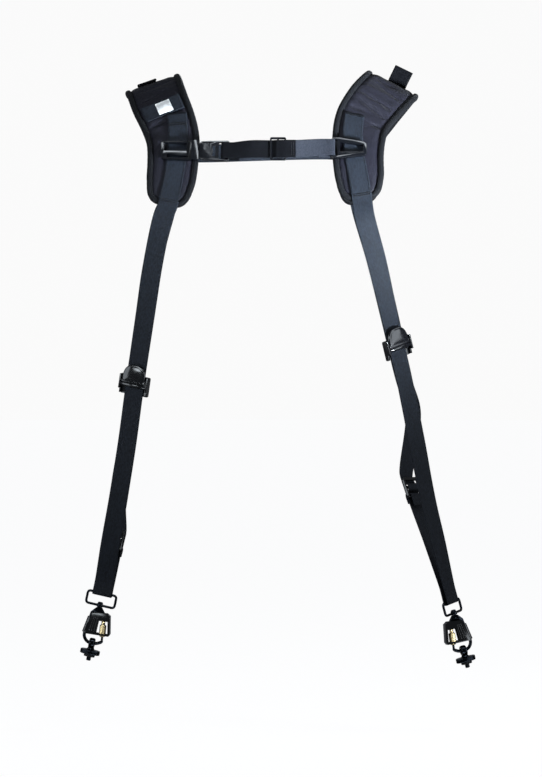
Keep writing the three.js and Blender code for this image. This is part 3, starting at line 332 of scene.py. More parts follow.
# Brass, turned and lacquered: pale gold with fine turning marks
TURNED_BRASS = SmoothSurface(
    "brass_turned", "brass", "#ffedbd", "#f4d596", 0.34, 1.5, 1.0, 0.15, 0.006, 5, 0.06)
# Nitrile rubber, moulded: flat black that gives hardly any reflection
RUBBER = SmoothSurface(
    "nitrile_rubber_moulded", "rubber", "#1a1a1c", "#101012", 0.75, 1.52, 0.0, 0.4, 0.03, 5, 0.08)


# Shapes


def smooth_step(value: float) -> float:
    """Eases a share from 0 to 1, held at both ends."""
    held = min(max(value, 0.0), 1.0)
    return held * held * (3 - 2 * held)


def lerp(a: float, b: float, share: float) -> float:
    """Mixes two numbers."""
    return a + (b - a) * share


@dataclass
class RouteCurve:
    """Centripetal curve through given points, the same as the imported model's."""

    points: list[Vector]
    lengths: list[float] = field(default_factory=list)

    DIVISIONS = 200

    def __post_init__(self) -> None:
        """Measures the curve in even steps."""
        total, before = 0.0, self.at(0)
        self.lengths = [0.0]
        for i in range(1, self.DIVISIONS + 1):
            here = self.at(i / self.DIVISIONS)
            total += (here - before).length
            self.lengths.append(total)
            before = here

    @property
    def length(self) -> float:
        """Whole length."""
        return self.lengths[-1]

    def at(self, t: float) -> Vector:
        """Point at a share of the spans.

        Args:
            t: 0 at the first point and 1 at the last.

        Returns:
            The point.
        """
        last = len(self.points) - 1
        place = min(max(t, 0.0), 1.0) * last
        i = min(int(place), last - 1)
        w = place - i
        p1, p2 = self.points[i], self.points[i + 1]
        p0 = self.points[i - 1] if i > 0 else 2 * p1 - p2
        p3 = self.points[i + 2] if i + 2 <= last else 2 * p2 - p1
        d0, d1, d2 = ((b - a).length ** 0.5 for a, b in ((p0, p1), (p1, p2), (p2, p3)))
        start = ((p1 - p0) / d0 - (p2 - p0) / (d0 + d1) + (p2 - p1) / d1) * d1
        end = ((p2 - p1) / d1 - (p3 - p1) / (d1 + d2) + (p3 - p2) / d2) * d1
        square = -3 * p1 + 3 * p2 - 2 * start - end
        cube = 2 * p1 - 2 * p2 + start + end
        return p1 + start * w + square * w * w + cube * w * w * w

    def tangent(self, t: float) -> Vector:
        """Direction at a share of the spans."""
        return (self.at(min(t + 1e-4, 1.0)) - self.at(max(t - 1e-4, 0.0))).normalized()

    def share_at(self, share: float) -> float:
        """Share of the spans at a share of the length.

        Args:
            share: 0 to 1 along the curve's length.

        Returns:
            The matching share of the spans.
        """
        goal = min(max(share, 0.0), 1.0) * self.length
        low = 0
        high = len(self.lengths) - 1
        while high - low > 1:
            middle = (low + high) // 2
            if self.lengths[middle] <= goal:
                low = middle
            else:
                high = middle
        span = self.lengths[low + 1] - self.lengths[low]
        return (low + (goal - self.lengths[low]) / span) / self.DIVISIONS


@dataclass
class Shell:
    """Vertices in millimetres and faces of one mesh, gathered from several shapes."""

    points: list[Vector] = field(default_factory=list)
    faces: list[tuple[int, ...]] = field(default_factory=list)
    cloth: list[list[tuple[float, float]]] = field(default_factory=list)

    def add(
        self,
        points: Sequence[Vector],
        faces: Sequence[tuple[int, ...]],
        cloth: Sequence[list[tuple[float, float]]] | None = None,
        place: Matrix | None = None,
    ) -> None:
        """Adds one shape.

        Args:
            points: Vertices in millimetres.
            faces: Corners of each face.
            cloth: Cloth coordinates of each face's corners, in millimetres.
            place: Frame in which the shape stands.
        """
        first = len(self.points)
        self.points.extend(place @ p if place is not None else p for p in points)
        self.faces.extend(tuple(first + i for i in face) for face in faces)
        flat = [[(0.0, 0.0)] * len(face) for face in faces]
        self.cloth.extend(cloth if cloth is not None else flat)

    def loft(
        self,
        rings: Sequence[Sequence[Vector]],
        closed: bool = False,
        place: Matrix | None = None,
    ) -> None:
        """Adds a skin over rings of equal count, capped unless closed.

        Args:
            rings: Rings of points, in order.
            closed: Whether the last ring joins the first.
            place: Frame in which the skin stands.
        """
        count = len(rings[0])
        run = [0.0]
        for a, b in zip(rings, list(rings[1:]) + [rings[0]]):
            run.append(run[-1] + (a[0] - b[0]).lerp(a[count // 2] - b[count // 2], 0.5).length)
        girth = []
        for ring in rings:
            around = [0.0]
            for k in range(count):
                around.append(around[-1] + (ring[k] - ring[(k + 1) % count]).length)
            girth.append(around)
        faces, cloth = [], []
        spans = len(rings) if closed else len(rings) - 1
        for i in range(spans):
            j = (i + 1) % len(rings)
            for k in range(count):
                m = (k + 1) % count
                faces.append((i * count + k, i * count + m, j * count + m, j * count + k))
                cloth.append([
                    (run[i], girth[i][k]), (run[i], girth[i][k + 1]),
                    (run[i + 1], girth[j][k + 1]), (run[i + 1], girth[j][k]),
                ])
        if not closed:
            for i in (0, len(rings) - 1):
                faces.append(tuple(i * count + k for k in range(count)))
                cloth.append([(run[i] + 0.2 * k, girth[i][k]) for k in range(count)])
        self.add([p for ring in rings for p in ring], faces, cloth, place)

    def make(self, name: str, finish: Finish, body: str, *nodes: str) -> bpy.types.Object:
        """Makes the object, dressed, riding on its body and standing for its nodes.

        Args:
            name: Name of the piece.
            finish: Its surface.
            body: The body that it moves with.
            *nodes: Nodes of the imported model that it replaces.

        Returns:
            The new object.
        """
        mesh = bpy.data.meshes.new(name)
        mesh.from_pydata([tuple(p * MM) for p in self.points], [], self.faces)
        layer = mesh.uv_layers.new(name=UV_NAME)
        flat = [value for corners in self.cloth for corner in corners for value in corner]
        layer.data.foreach_set("uv", flat)
        work = bmesh.new()
        work.from_mesh(mesh)
        bmesh.ops.recalc_face_normals(work, faces=work.faces)
        work.to_mesh(mesh)
        work.free()
        mesh.polygons.foreach_set("use_smooth", [True] * len(mesh.polygons))
        mesh.materials.append(finish.material())
        piece = bpy.data.objects.new(name, mesh)
        bpy.context.scene.collection.objects.link(piece)
        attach(piece, body)
        if nodes:
            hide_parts(*nodes)
        LOG.info("%s: %d faces on %s", name, len(self.faces), body)
        return piece


def turned(
    profile: Sequence[tuple[float, float]],
    columns: int = 48,
    shape: Callable[[float, float, float], float] | None = None,
) -> list[list[Vector]]:
    """Rings of a turned shape about Z, closed from the last row of the profile to the first.

    Args:
        profile: Radius and height of each row.
        columns: Points in each ring.
        shape: Gives a row's radius from its radius, its height and the angle.

    Returns:
        One closed loop of profile points for each column.
    """
    loops = []
    for k in range(columns):
        angle = k / columns * math.tau
        loop = []
        for radius, height in profile:
            reach = shape(radius, height, angle) if shape else radius
            loop.append(Vector((math.cos(angle) * reach, math.sin(angle) * reach, height)))
        loops.append(loop)
    return loops


def rounded(
    points: Sequence[tuple[float, float]], radius: float, steps: int = 3
) -> list[tuple[float, float]]:
    """Rounds the corners of a closed outline.

    Args:
        points: Corners of the outline.
        radius: Length cut from each side of a corner.
        steps: Points of each rounded corner, less one.

    Returns:
        The rounded outline.
    """
    result = []
    for i, corner in enumerate(points):
        here = Vector(corner)
        before = Vector(points[i - 1])
        after = Vector(points[(i + 1) % len(points)])
        cut_in = min(radius, (before - here).length * 0.45)
        cut_out = min(radius, (after - here).length * 0.45)
        start = here + (before - here).normalized() * cut_in
        end = here + (after - here).normalized() * cut_out
        for k in range(steps + 1):
            t = k / steps
            point = start * (1 - t) ** 2 + here * 2 * t * (1 - t) + end * t * t
            result.append((point.x, point.y))
    return result


def tube(
    points: Sequence[Vector],
    radius: float | Callable[[float], float],
    closed: bool = False,
    sides: int = 16,
    across: Vector | None = None,
    flatness: float = 1.0,
) -> list[list[Vector]]:
    """Rings of a round wire that follows points.

    Args:
        points: The wire's middle line.
        radius: Radius, or a function of the share along the wire.
        closed: Whether the last point joins the first.
        sides: Points in each ring.
        across: Direction that one side of the section keeps.
        flatness: Share of the radius in that direction.

    Returns:
        The rings.
    """
    fixed = across or Vector((0, 1, 0))
    last = len(points) - 1
    rings = []
    for i, centre in enumerate(points):
        before = points[i - 1] if closed else points[max(i - 1, 0)]
        after = points[(i + 1) % len(points)] if closed else points[min(i + 1, last)]
        tangent = (after - before).normalized()
        lift = (fixed - tangent * fixed.dot(tangent)).normalized()
        out = tangent.cross(lift)
        reach = radius(i / last) if callable(radius) else radius
        ring = []
        for k in range(sides):
            angle = k / sides * math.tau
            ring.append(centre + out * math.cos(angle) * reach + lift * math.sin(angle) * reach * flatness)
        rings.append(ring)
    return rings


def frame_at(centre: Vector, across: Vector, normal: Vector) -> Matrix:
    """Frame from an origin, an X direction and the face that looks along -Y.

    Args:
        centre: Origin.
        across: X direction.
        normal: Opposite of the Y direction.

    Returns:
        The frame.
    """
    back = -normal
    up = across.cross(back).normalized()
    return Matrix.Translation(centre) @ Matrix((across, back, up)).transposed().to_4x4()


@dataclass
class Station:
    """A place that flat webbing passes, with the way its face looks."""

    centre: Vector
    normal: Vector


@dataclass
class StripPoint:
    """A cross-section's place on webbing."""

    centre: Vector
    tangent: Vector
    normal: Vector
    across: Vector
    run: float


@dataclass
class Strip:
    """Flat webbing through stations, with rounded selvedges."""

    stations: list[Station]
    width: float
    thickness: float
    pitch: float = 3.0
    ripple: float = 0.0
    seed: float = 0.0

    def route(self) -> list[StripPoint]:
        """Places of the cross-sections, about one pitch apart."""
        curve = RouteCurve([s.centre for s in self.stations])
        last = len(self.stations) - 1
        result: list[StripPoint] = []
        for i in range(last):
            a, b = self.stations[i], self.stations[i + 1]
            steps = max(2, math.ceil((b.centre - a.centre).length / self.pitch))
            for k in range(steps + (i == last - 1)):
                share = k / steps
                t = (i + share) / last
                centre, tangent = curve.at(t), curve.tangent(t)
                normal = a.normal.lerp(b.normal, share)
                normal = (normal - tangent * normal.dot(tangent)).normalized()
                run = result[-1].run + (centre - result[-1].centre).length if result else 0.0
                result.append(StripPoint(centre, tangent, normal, tangent.cross(normal), run))
        return result

    def section(self) -> list[tuple[float, float]]:
        """Half-round edges, slightly proud selvedges and a flat middle."""
        half, thick = self.width / 2, self.thickness / 2
        shares = (-1, -0.9, -0.6, -0.2, 0.2, 0.6, 0.9, 1)
        top = [(u * (half - thick), thick * (0.92 + 0.08 * abs(u) ** 6)) for u in shares]
        edge = [(half - thick * (1 - math.sin(a)), thick * math.cos(a)) for a in (0.6, 1.2, 1.94, 2.54)]
        under = [(-u, -v) for u, v in top]
        other = [(-u, -v) for u, v in edge]
        return top + edge + under + other

    def skin(self, shell: Shell) -> None:
        """Adds the webbing's skin.

        Args:
            shell: The mesh to add to.
        """
        outline = self.section()
        rings = []
        for point in self.route():
            swell = self.ripple * noise.noise(Vector((point.run / 42, self.seed, 0)))
            curl = self.ripple * 0.6 * noise.noise(Vector((point.run / 60, self.seed + 9, 0)))
            ring = []
            for u, v in outline:
                bowl = curl * ((2 * u / self.width) ** 2 - 0.33)
                ring.append(point.centre + point.across * u + point.normal * (v + swell + bowl))
            rings.append(ring)
        shell.loft(rings)


def stitches(
    shell: Shell,
    path: Sequence[tuple[Vector, Vector]],
    pitch: float = 3.4,
    length: float = 2.5,
    radius: float = 0.34,
) -> None:
    """Adds a row of lock stitches along a path.

    Args:
        shell: The mesh to add to.
        path: Points on the cloth with the cloth's normal.
        pitch: Distance between stitches.
        length: Length of one stitch.
        radius: Thread radius.
    """
    marks = [0.0]
    for (a, _), (b, _) in zip(path, path[1:]):
        marks.append(marks[-1] + (b - a).length)
    count = max(1, int(marks[-1] / pitch))
    slack = (marks[-1] - count * pitch) / 2 + pitch / 2
    i = 0
    for n in range(count):
        goal = slack + n * pitch
        while i < len(path) - 2 and marks[i + 1] < goal:
            i += 1
        span = max(marks[i + 1] - marks[i], 1e-6)
        share = (goal - marks[i]) / span
        middle = path[i][0].lerp(path[i + 1][0], share)
        normal = path[i][1].lerp(path[i + 1][1], share).normalized()
        along = (path[i + 1][0] - path[i][0]).normalized()
        line = [
            middle + along * (s * length / 2) + normal * (radius * lift)
            for s, lift in ((-1, -1.2), (-0.7, 0.2), (0, 0.7), (0.7, 0.2), (1, -1.2))
        ]
        shell.loft(tube(line, radius, sides=6, across=normal))


def sewn_line(strip: Strip, start: float, end: float, offset: float) -> list[tuple[Vector, Vector]]:
    """Path along webbing between two distances from its start.

    Args:
        strip: The webbing.
        start: Distance of the first point.
        end: Distance of the last.
        offset: Distance across from the middle.

    Returns:
        Points on its face with the face's normal.
    """
    return [
        (p.centre + p.across * offset + p.normal * strip.thickness / 2, p.normal)
        for p in strip.route()
        if start <= p.run <= end
    ]


def sewn_across(strip: Strip, run: float, reach: float) -> list[tuple[Vector, Vector]]:
    """Path across webbing at a distance from its start.

    Args:
        strip: The webbing.
        run: Distance along it.
        reach: Distance either side of the middle.

    Returns:
        Points on its face with the face's normal.
    """
    place = min(strip.route(), key=lambda p: abs(p.run - run))
    face = place.centre + place.normal * strip.thickness / 2
    return [(face + place.across * reach * s, place.normal) for s in (-1, -0.5, 0, 0.5, 1)]


def fold_stations(
    place: Matrix, width: float, thick: float, tape: float, lead: float, tail: float
) -> list[Station]:
    """Stations of webbing folded round a square bar at a frame's origin.

    Args:
        place: Frame of the bar; the webbing comes along +Z in front and leaves along +Z behind.
        width: Bar size along Z.
        thick: Bar size along Y.
        tape: Thickness of the webbing.
        lead: Distance at which the webbing comes in.
        tail: Distance at which it leaves.

    Returns:
        The stations.
    """
    room = FOLD_GAP + tape / 2
    leg, under = thick / 2 + room, width / 2 + room
    rows = [
        (-leg, lead, -1, 0),
        (-leg, under * 0.2, -1, 0),
        (-leg * 0.86, -under * 0.86, -0.7, -0.7),
        (0, -under, 0, -1),
        (leg * 0.86, -under * 0.86, 0.7, -0.7),
        (leg, under * 0.2, 1, 0),
        (leg, tail, 1, 0),
    ]
    turn = place.to_3x3()
    return [
        Station(place @ Vector((0, y, z)), turn @ Vector((0, ny, nz)).normalized())
        for y, z, ny, nz in rows
    ]


# Sizes of the harness in millimetres, and shares of them

FOLD_GAP = 0.5
TAPE_WIDTH = 25.0
TAPE_THICKNESS = 1.6
CHEST_TAPE_WIDTH = 22.0
CHEST_TAPE_THICKNESS = 1.4
PAD_WIDTH = 73.0
PAD_THICKNESS = 8.0
PAD_SPREAD = 118.0
PAD_DROP = 140.0
CHEST_DEPTH = 116.0
BACK_DEPTH = 112.0
REAR_LENGTH = 0.88
REAR_SPREAD = 1.05
REAR_NARROWING = 0.92
BINDING_WIDTH = 8.0
BINDING_THICKNESS = 10.0
LABEL_ALONG = 0.324
LABEL_ROOM = 17.0
TAB_ALONG = 0.53
TAB_LENGTH = 44.0
TAB_THICKNESS = 3.2
TAB_RISE = 21.0
FOLD_DEPTH = 2.6
RING_WIDTH = 41.0
RING_HEIGHT = 19.0
RING_WIRE = 3.2
LADDER_HEIGHT = 28.0
LADDER_BAR = 4.0
LADDER_TAIL = 14.0
PAD_RUN_LIFT = PAD_THICKNESS / 2 + 2 * GAP + TAPE_THICKNESS / 2


# Way of the rear webbing through the adjuster: depth behind the bars' middle and height, from the
# tail behind the lower bar, over the front of the middle bar and up behind the upper bar
THREADING = (
    (5.5, -20.0), (5.4, -9.4), (3.4, -5.9), (0.0, -4.7), (-2.8, -3.3), (-3.5, 0.0),
    (-2.8, 3.3), (0.0, 5.0), (2.8, 7.2), (3.5, 11.0), (3.5, 18.0),
)


@dataclass(frozen=True)
class SideSizes:
    """Places and turns that differ between the sides, in millimetres and degrees."""

    hook_out: float
    hook_drop: float
    hook_depth: float
    chain_tilt: float
    ring_turn: float
    hook_turn: float
    pad_length: float
    run_top: float
    cam: float
    ladder: tuple[float, float, float]
    ladder_turn: float
    tab_offset: float
    tab_stands: bool
    front: tuple[tuple[float, float, float, float], ...]
    rear: tuple[tuple[float, float, float, float], ...]


# Rows of front and rear: drop as a share of hook_drop, out of hook_out, depth, turn in degrees
SIZES = {
    Side.LEFT: SideSizes(
        209, 634, 50, 12, 11, 4, 1.0, 0.286, 0.425, (0.889, 0.925, -0.16), 42, -6, False,
        (
            (0.239, 0.609, -1.075, 3), (0.327, 0.669, -1.01, 8), (0.444, 0.725, -0.93, 16),
            (0.562, 0.781, -0.84, 19), (0.681, 0.832, -0.74, 19), (0.8, 0.892, -0.63, 16),
            (0.891, 0.943, -0.54, 13),
        ),
        (
            (0.804, 0.909, -0.09, 30), (0.683, 0.858, 0.17, 20), (0.561, 0.813, 0.39, 14),
            (0.437, 0.765, 0.65, 8), (0.311, 0.713, 0.88, 4),
        ),
    ),
    Side.RIGHT: SideSizes(
        236, 644, 50, 14.5, 53, 12, 0.95, 0.262, 0.322, (0.767, 0.795, -0.08), 50, 4, True,
        (
            (0.235, 0.518, -1.075, 2), (0.322, 0.582, -1.01, 10), (0.437, 0.658, -0.93, 34),
            (0.553, 0.734, -0.84, 36), (0.67, 0.8, -0.74, 32), (0.788, 0.865, -0.63, 38),
            (0.877, 0.926, -0.54, 44),
        ),
        (
            (0.616, 0.805, 0.17, 34), (0.555, 0.76, 0.35, 28), (0.43, 0.688, 0.61, 16),
            (0.306, 0.612, 0.88, 6),
        ),
    ),
}


@dataclass(frozen=True)
class PadRow:
    """A cross-section of a pad's front half, as shares of the pad's sizes, slopes in degrees."""

    left: float
    right: float
    height: float
    depth: float
    width: float
    left_slope: float
    right_slope: float

    def out(self, side: Side) -> float:
        """Distance from the middle as a share of PAD_SPREAD."""
        return self.left if side is Side.LEFT else self.right

    def slope(self, side: Side) -> float:
        """Fall towards the arm in degrees."""
        return self.left_slope if side is Side.LEFT else self.right_slope


PAD_ROWS = (
    PadRow(1.054, 1.002, -1.0, 1.0, 0.42, -8, -3),
    PadRow(1.047, 0.998, -0.97, 0.998, 0.6, -8, -2),
    PadRow(1.034, 0.992, -0.91, 0.99, 0.74, -8, -1),
    PadRow(1.003, 0.987, -0.765, 0.957, 0.85, -5, 0),
    PadRow(0.984, 0.975, -0.583, 0.897, 0.88, 0, 2),
    PadRow(0.987, 0.986, -0.4, 0.81, 0.92, 6, 9),
    PadRow(1.044, 1.03, -0.228, 0.69, 0.96, 15, 20),
    PadRow(1.136, 1.162, -0.044, 0.517, 1.0, 20, 31),
    PadRow(1.212, 1.343, 0.128, 0.216, 1.01, 19, 27),
    PadRow(1.235, 1.37, 0.15, 0.0, 1.01, 19, 26),
)


@dataclass
class ArchPoint:
    """A cross-section's place on the middle layer of a pad."""

    centre: Vector
    tangent: Vector
    across: Vector
    normal: Vector
    width: float


@dataclass
class Arch:
    """Middle layer of a pad over the shoulder, from its front tip to its rear tip."""

    side: Side
    rows: list[tuple[Vector, float, float]] = field(default_factory=list)
    curve: RouteCurve | None = None

    def __post_init__(self) -> None:
        """Places the cross-sections."""
        sizes = SIZES[self.side]
        sign = self.side.value
        for row in PAD_ROWS:
            length = sizes.pad_length if row.height < 0 else 1.0
            centre = Vector((
                sign * row.out(self.side) * PAD_SPREAD,
                -row.depth * CHEST_DEPTH,
                row.height * PAD_DROP * length,
            ))
            self.rows.append((centre, row.width * PAD_WIDTH, row.slope(self.side)))
        for row in reversed(PAD_ROWS[:-1]):
            length = REAR_LENGTH if row.height < 0 else 1.0
            spread = 1 + (REAR_SPREAD - 1) * row.depth
            centre = Vector((
                sign * row.out(self.side) * PAD_SPREAD * spread,
                row.depth * BACK_DEPTH,
                row.height * PAD_DROP * length,
            ))
            self.rows.append((centre, row.width * PAD_WIDTH * REAR_NARROWING, row.slope(self.side)))
        self.curve = RouteCurve([centre for centre, _, _ in self.rows])

    @property
    def length(self) -> float:
        """Length of the pad along the arch."""
        return self.curve.length

    def at(self, share: float) -> ArchPoint:
        """Cross-section at a share of the length.

        Args:
            share: 0 at the front tip and 1 at the rear tip.

        Returns:
            Its place, directions and full width.
        """
        t = self.curve.share_at(share)
        place = min(t * (len(self.rows) - 1), len(self.rows) - 1 - 1e-6)
        i = int(place)
        mix = place - i
        width = lerp(self.rows[i][1], self.rows[i + 1][1], mix)
        slope = math.radians(lerp(self.rows[i][2], self.rows[i + 1][2], mix))
        tangent = self.curve.tangent(t)
        across = Vector((math.cos(slope), 0, -self.side.value * math.sin(slope)))
        across = (across - tangent * across.dot(tangent)).normalized()
        return ArchPoint(self.curve.at(t), tangent, across, across.cross(tangent).normalized(), width)

    def on(self, share: float, offset: float, lift: float) -> Vector:
        """Point above the middle layer, offset across it."""
        here = self.at(share)
        return here.centre + here.across * offset + here.normal * lift

    def edge(self, share: float, inset: float) -> float:
        """Half width at a share, less an inset measured square to the outline.

        Args:
            share: Share of the length.
            inset: Distance in from the edge.

        Returns:
            The half width.
        """
        step = 0.004
        low, high = max(share - step, 0.0), min(share + step, 1.0)
        rise = (self.at(high).width - self.at(low).width) / 2
        slant = math.hypot(1, rise / ((high - low) * self.length))
        return self.at(share).width / 2 - inset * slant


@dataclass(frozen=True)
class Fold:
    """A soft crease or swell in the pad's cloth.

    along and across are its middle, as a share of the arch and in millimetres; turn is its
    direction from across the pad, in degrees; height is a share of FOLD_DEPTH, negative for a
    crease.
    """

    along: float
    across: float
    turn: float
    length: float
    breadth: float
    height: float


FOLDS = {
    Side.LEFT: (
        Fold(0.275, -6, 8, 30, 3, -0.8), Fold(0.302, 10, -10, 26, 3, -0.7), Fold(0.385, -10, 16, 26, 3, -0.8),
        Fold(0.41, 8, -12, 24, 3.4, 0.6), Fold(0.44, 4, 6, 28, 2.8, -0.8), Fold(0.18, -22, 60, 16, 3, -0.7),
        Fold(0.12, 20, -50, 14, 3, -0.7), Fold(0.62, 0, 6, 32, 6, -0.6), Fold(0.72, 12, 20, 24, 5, 0.5),
        Fold(0.78, -10, -12, 24, 5, -0.6), Fold(0.87, 8, 30, 18, 4, -0.5),
    ),
    Side.RIGHT: (
        Fold(0.285, -14, 6, 22, 2.6, -0.8), Fold(0.31, 4, -8, 34, 2.6, -1.0), Fold(0.33, 8, -2, 34, 3.4, 0.8),
        Fold(0.35, 2, 4, 34, 2.6, -1.0), Fold(0.385, -2, 12, 32, 3.4, 0.7), Fold(0.41, 6, -6, 30, 2.6, -0.9),
        Fold(0.44, -6, 8, 28, 2.6, -0.8), Fold(0.25, 20, -14, 18, 2.6, -0.9), Fold(0.21, 26, 70, 20, 3, -0.8),
        Fold(0.15, 24, 78, 24, 3, -0.7), Fold(0.62, 0, -6, 32, 6, -0.6), Fold(0.72, -12, -20, 24, 5, 0.5),
        Fold(0.79, 10, 12, 24, 5, -0.6),
    ),
}


@dataclass
class ShoulderPad:
    """Padded shoulder piece: foam body, rolled edge and its stitching."""

    side: Side
    arch: Arch
    steps: int = 260
    columns: int = 30
    rise: float = 0.5

    @property
    def inset(self) -> float:
        """Distance from the outline to the body's own edge, just inside the rolled edge."""
        return BINDING_WIDTH - 0.9

    def swell(self, share: float, offset: float) -> float:
        """Height that creases and handling add to the cloth.

        Args:
            share: Share of the arch.
            offset: Distance across from the middle.

        Returns:
            Millimetres along the normal.
        """
        height = 0.75 * noise.noise(Vector((share * 26, offset / 17, self.side.value * 3.1)))
        height += 0.3 * noise.noise(Vector((share * 70, offset / 7, self.side.value * 7.7)))
        for fold in FOLDS[self.side]:
            along = (share - fold.along) * self.arch.length
            over = offset - fold.across
            turn = math.radians(fold.turn)
            near = along * math.cos(turn) - over * math.sin(turn)
            far = along * math.sin(turn) + over * math.cos(turn)
            falloff = (near / fold.breadth) ** 2 + (far / fold.length) ** 2 * 2
            height += FOLD_DEPTH * fold.height * math.exp(-falloff)
        return height

    def bare(self, share: float, offset: float) -> float:
        """How free of webbing the cloth is.

        Args:
            share: Share of the arch.
            offset: Distance across from the middle.

        Returns:
            0 under the webbing and label and 1 clear of them.
        """
        run = Sling.PAD_RUN
        if share > 0.5:
            middle, clear = 0.0, smooth_step((0.8 - share) * self.arch.length / 8)
        else:
            column = 1 if self.side is Side.LEFT else 2
            below = next((i for i in range(1, len(run)) if run[i][0] <= share), len(run) - 1)
            mix = (run[below - 1][0] - share) / (run[below - 1][0] - run[below][0])
            middle = lerp(run[below - 1][column], run[below][column], min(max(mix, 0.0), 1.0)) * PAD_WIDTH
            clear = smooth_step((share - SIZES[self.side].run_top) * self.arch.length / 6 - 0.5)
        if self.side is Side.LEFT and abs(share - LABEL_ALONG) * self.arch.length < LABEL_ROOM:
            clear = 0.0
        return max(clear, smooth_step((abs(offset - middle) - 13) / 5) if clear < 1 else 1.0)

    def crown(self, u: float) -> float:
        """Height of the stuffed section at a share of its half width."""
        edge = max(1 - abs(u), 0.0)
        return 0.3 + 0.7 * (1 - (1 - min(edge / 0.34, 1.0)) ** 2.6)

    def body(self) -> None:
        """Makes the foam body, crowned and pulled in along its seams."""
        shell = Shell()
        end = self.inset / self.arch.length
        rings = []
        for i in range(self.steps + 1):
            share = lerp(end, 1 - end, i / self.steps)
            here = self.arch.at(share)
            half = self.arch.edge(share, self.inset)
            tip = min(min(share - end, 1 - end - share) * self.arch.length / 9, 1.0)
            tuck = 0.35 + 0.65 * math.sqrt(max(tip * (2 - tip), 0.0))
            pucker = 0.3 * math.sin(share * self.arch.length / 9.5 * math.tau)
            top, under = [], []
            for k in range(self.columns + 1):
                u = lerp(-1, 1, k / self.columns)
                u = math.copysign(1 - (1 - abs(u)) ** 1.35, u)
                crown = self.crown(u) * tuck
                rough = self.swell(share, u * half) * smooth_step((1 - abs(u)) * 3.2) * tuck
                rough += pucker * (1 - smooth_step((1 - abs(u)) * 4))
                high = PAD_THICKNESS / 2 * crown + min(rough, 0.12 + 1.3 * self.bare(share, u * half))
                top.append(here.centre + here.across * u * half + here.normal * high)
                low = PAD_THICKNESS / 2 * crown
                under.append(here.centre + here.across * u * half - here.normal * low)
            rings.append(top + under[::-1][1:-1])
        shell.loft(rings)
        piece = shell.make(
            f"{self.side.word}_padded_body", PAD_CLOTH, "root", f"{self.side.word}_shoulder_pad")

    def edge_path(self, inset: float, pitch: float = 2.4) -> list[tuple[Vector, Vector]]:
        """Closed path along the pad's outline with its corners rounded off.

        Args:
            inset: Distance in from the outline.
            pitch: Distance between points.

        Returns:
            Points on the middle layer with the pad's normal.
        """
        end = inset / self.arch.length
        count = int(self.arch.length / pitch)
        rim: list[tuple[Vector, Vector]] = []
        for sign in (1, -1):
            for i in range(count + 1):
                share = lerp(end, 1 - end, (i if sign > 0 else count - i) / count)
                here = self.arch.at(share)
                offset = sign * self.arch.edge(share, inset)
                rim.append((here.centre + here.across * offset, here.normal))
            cap = self.arch.at(1 - end if sign > 0 else end)
            reach = sign * self.arch.edge(1 - end if sign > 0 else end, inset)
            rows = max(2, int(abs(2 * reach) / pitch))
            for k in range(1, rows):
                rim.append((cap.centre + cap.across * lerp(reach, -reach, k / rows), cap.normal))
        for _ in range(4):
            rim = [
                (
                    (rim[i - 1][0] + here[0] * 2 + rim[(i + 1) % len(rim)][0]) / 4,
                    (rim[i - 1][1] + here[1] * 2 + rim[(i + 1) % len(rim)][1]).normalized(),
                )
                for i, here in enumerate(rim)
            ]
        return rim

    def binding(self) -> None:
        """Makes the rolled edge, gathered a little by its seam."""
        rim = self.edge_path(BINDING_WIDTH / 2)
        shell = Shell()
        rings = []
        run = 0.0
        for i, (point, normal) in enumerate(rim):
            before, after = rim[i - 1][0], rim[(i + 1) % len(rim)][0]
            run += (point - before).length
            tangent = (after - before).normalized()
            out = tangent.cross(normal).normalized()
            gather = 1 + 0.035 * math.sin(run / 6.5 * math.tau + 2 * noise.noise(Vector((run / 30, 0, 0))))
            gather += 0.05 * noise.noise(Vector((run / 14, self.side.value, 0)))
            ring = []
            for k in range(18):
                angle = k / 18 * math.tau
                u, v = math.cos(angle), math.sin(angle)
                wide = math.copysign(abs(u) ** 0.82, u) * BINDING_WIDTH / 2
                high = math.copysign(abs(v) ** 0.82, v) * BINDING_THICKNESS / 2
                ring.append(point + out * wide * min(gather, 1.0) + normal * high * gather)
            rings.append(ring)
        shell.loft(rings, closed=True)
        piece = shell.make(
            f"{self.side.word}_rolled_edge", BINDING_CLOTH, "root", f"{self.side.word}_pad_binding")

    def stitching(self) -> None:
        """Makes the stitches that close the rolled edge."""
        shell = Shell()
        rim = self.edge_path(BINDING_WIDTH * 0.8)
        lift = BINDING_THICKNESS / 2 * 0.8
        stitches(shell, [(p + n * lift, n) for p, n in rim], pitch=3.6)
        shell.make(f"{self.side.word}_edge_stitching", SEWING_THREAD, "root")

    def build(self) -> None:
        """Makes all of the pad."""
        self.body()
        self.binding()
        self.stitching()


def route_stations(
    side: Side, rows: Sequence[tuple[float, float, float, float]], depth: float
) -> list[Station]:
    """Stations of a free run of webbing.

    Args:
        side: The side.
        rows: Drop, out, depth and turn of each station.
        depth: Size that the depths are shares of.

    Returns:
        The stations.
    """
    sizes, sign = SIZES[side], side.value
    return [
        Station(
            Vector((sign * out * sizes.hook_out, back * depth, -drop * sizes.hook_drop)),
            Vector((sign * math.sin(math.radians(turn)), -math.cos(math.radians(turn)), 0)),
        )
        for drop, out, back, turn in rows
    ]


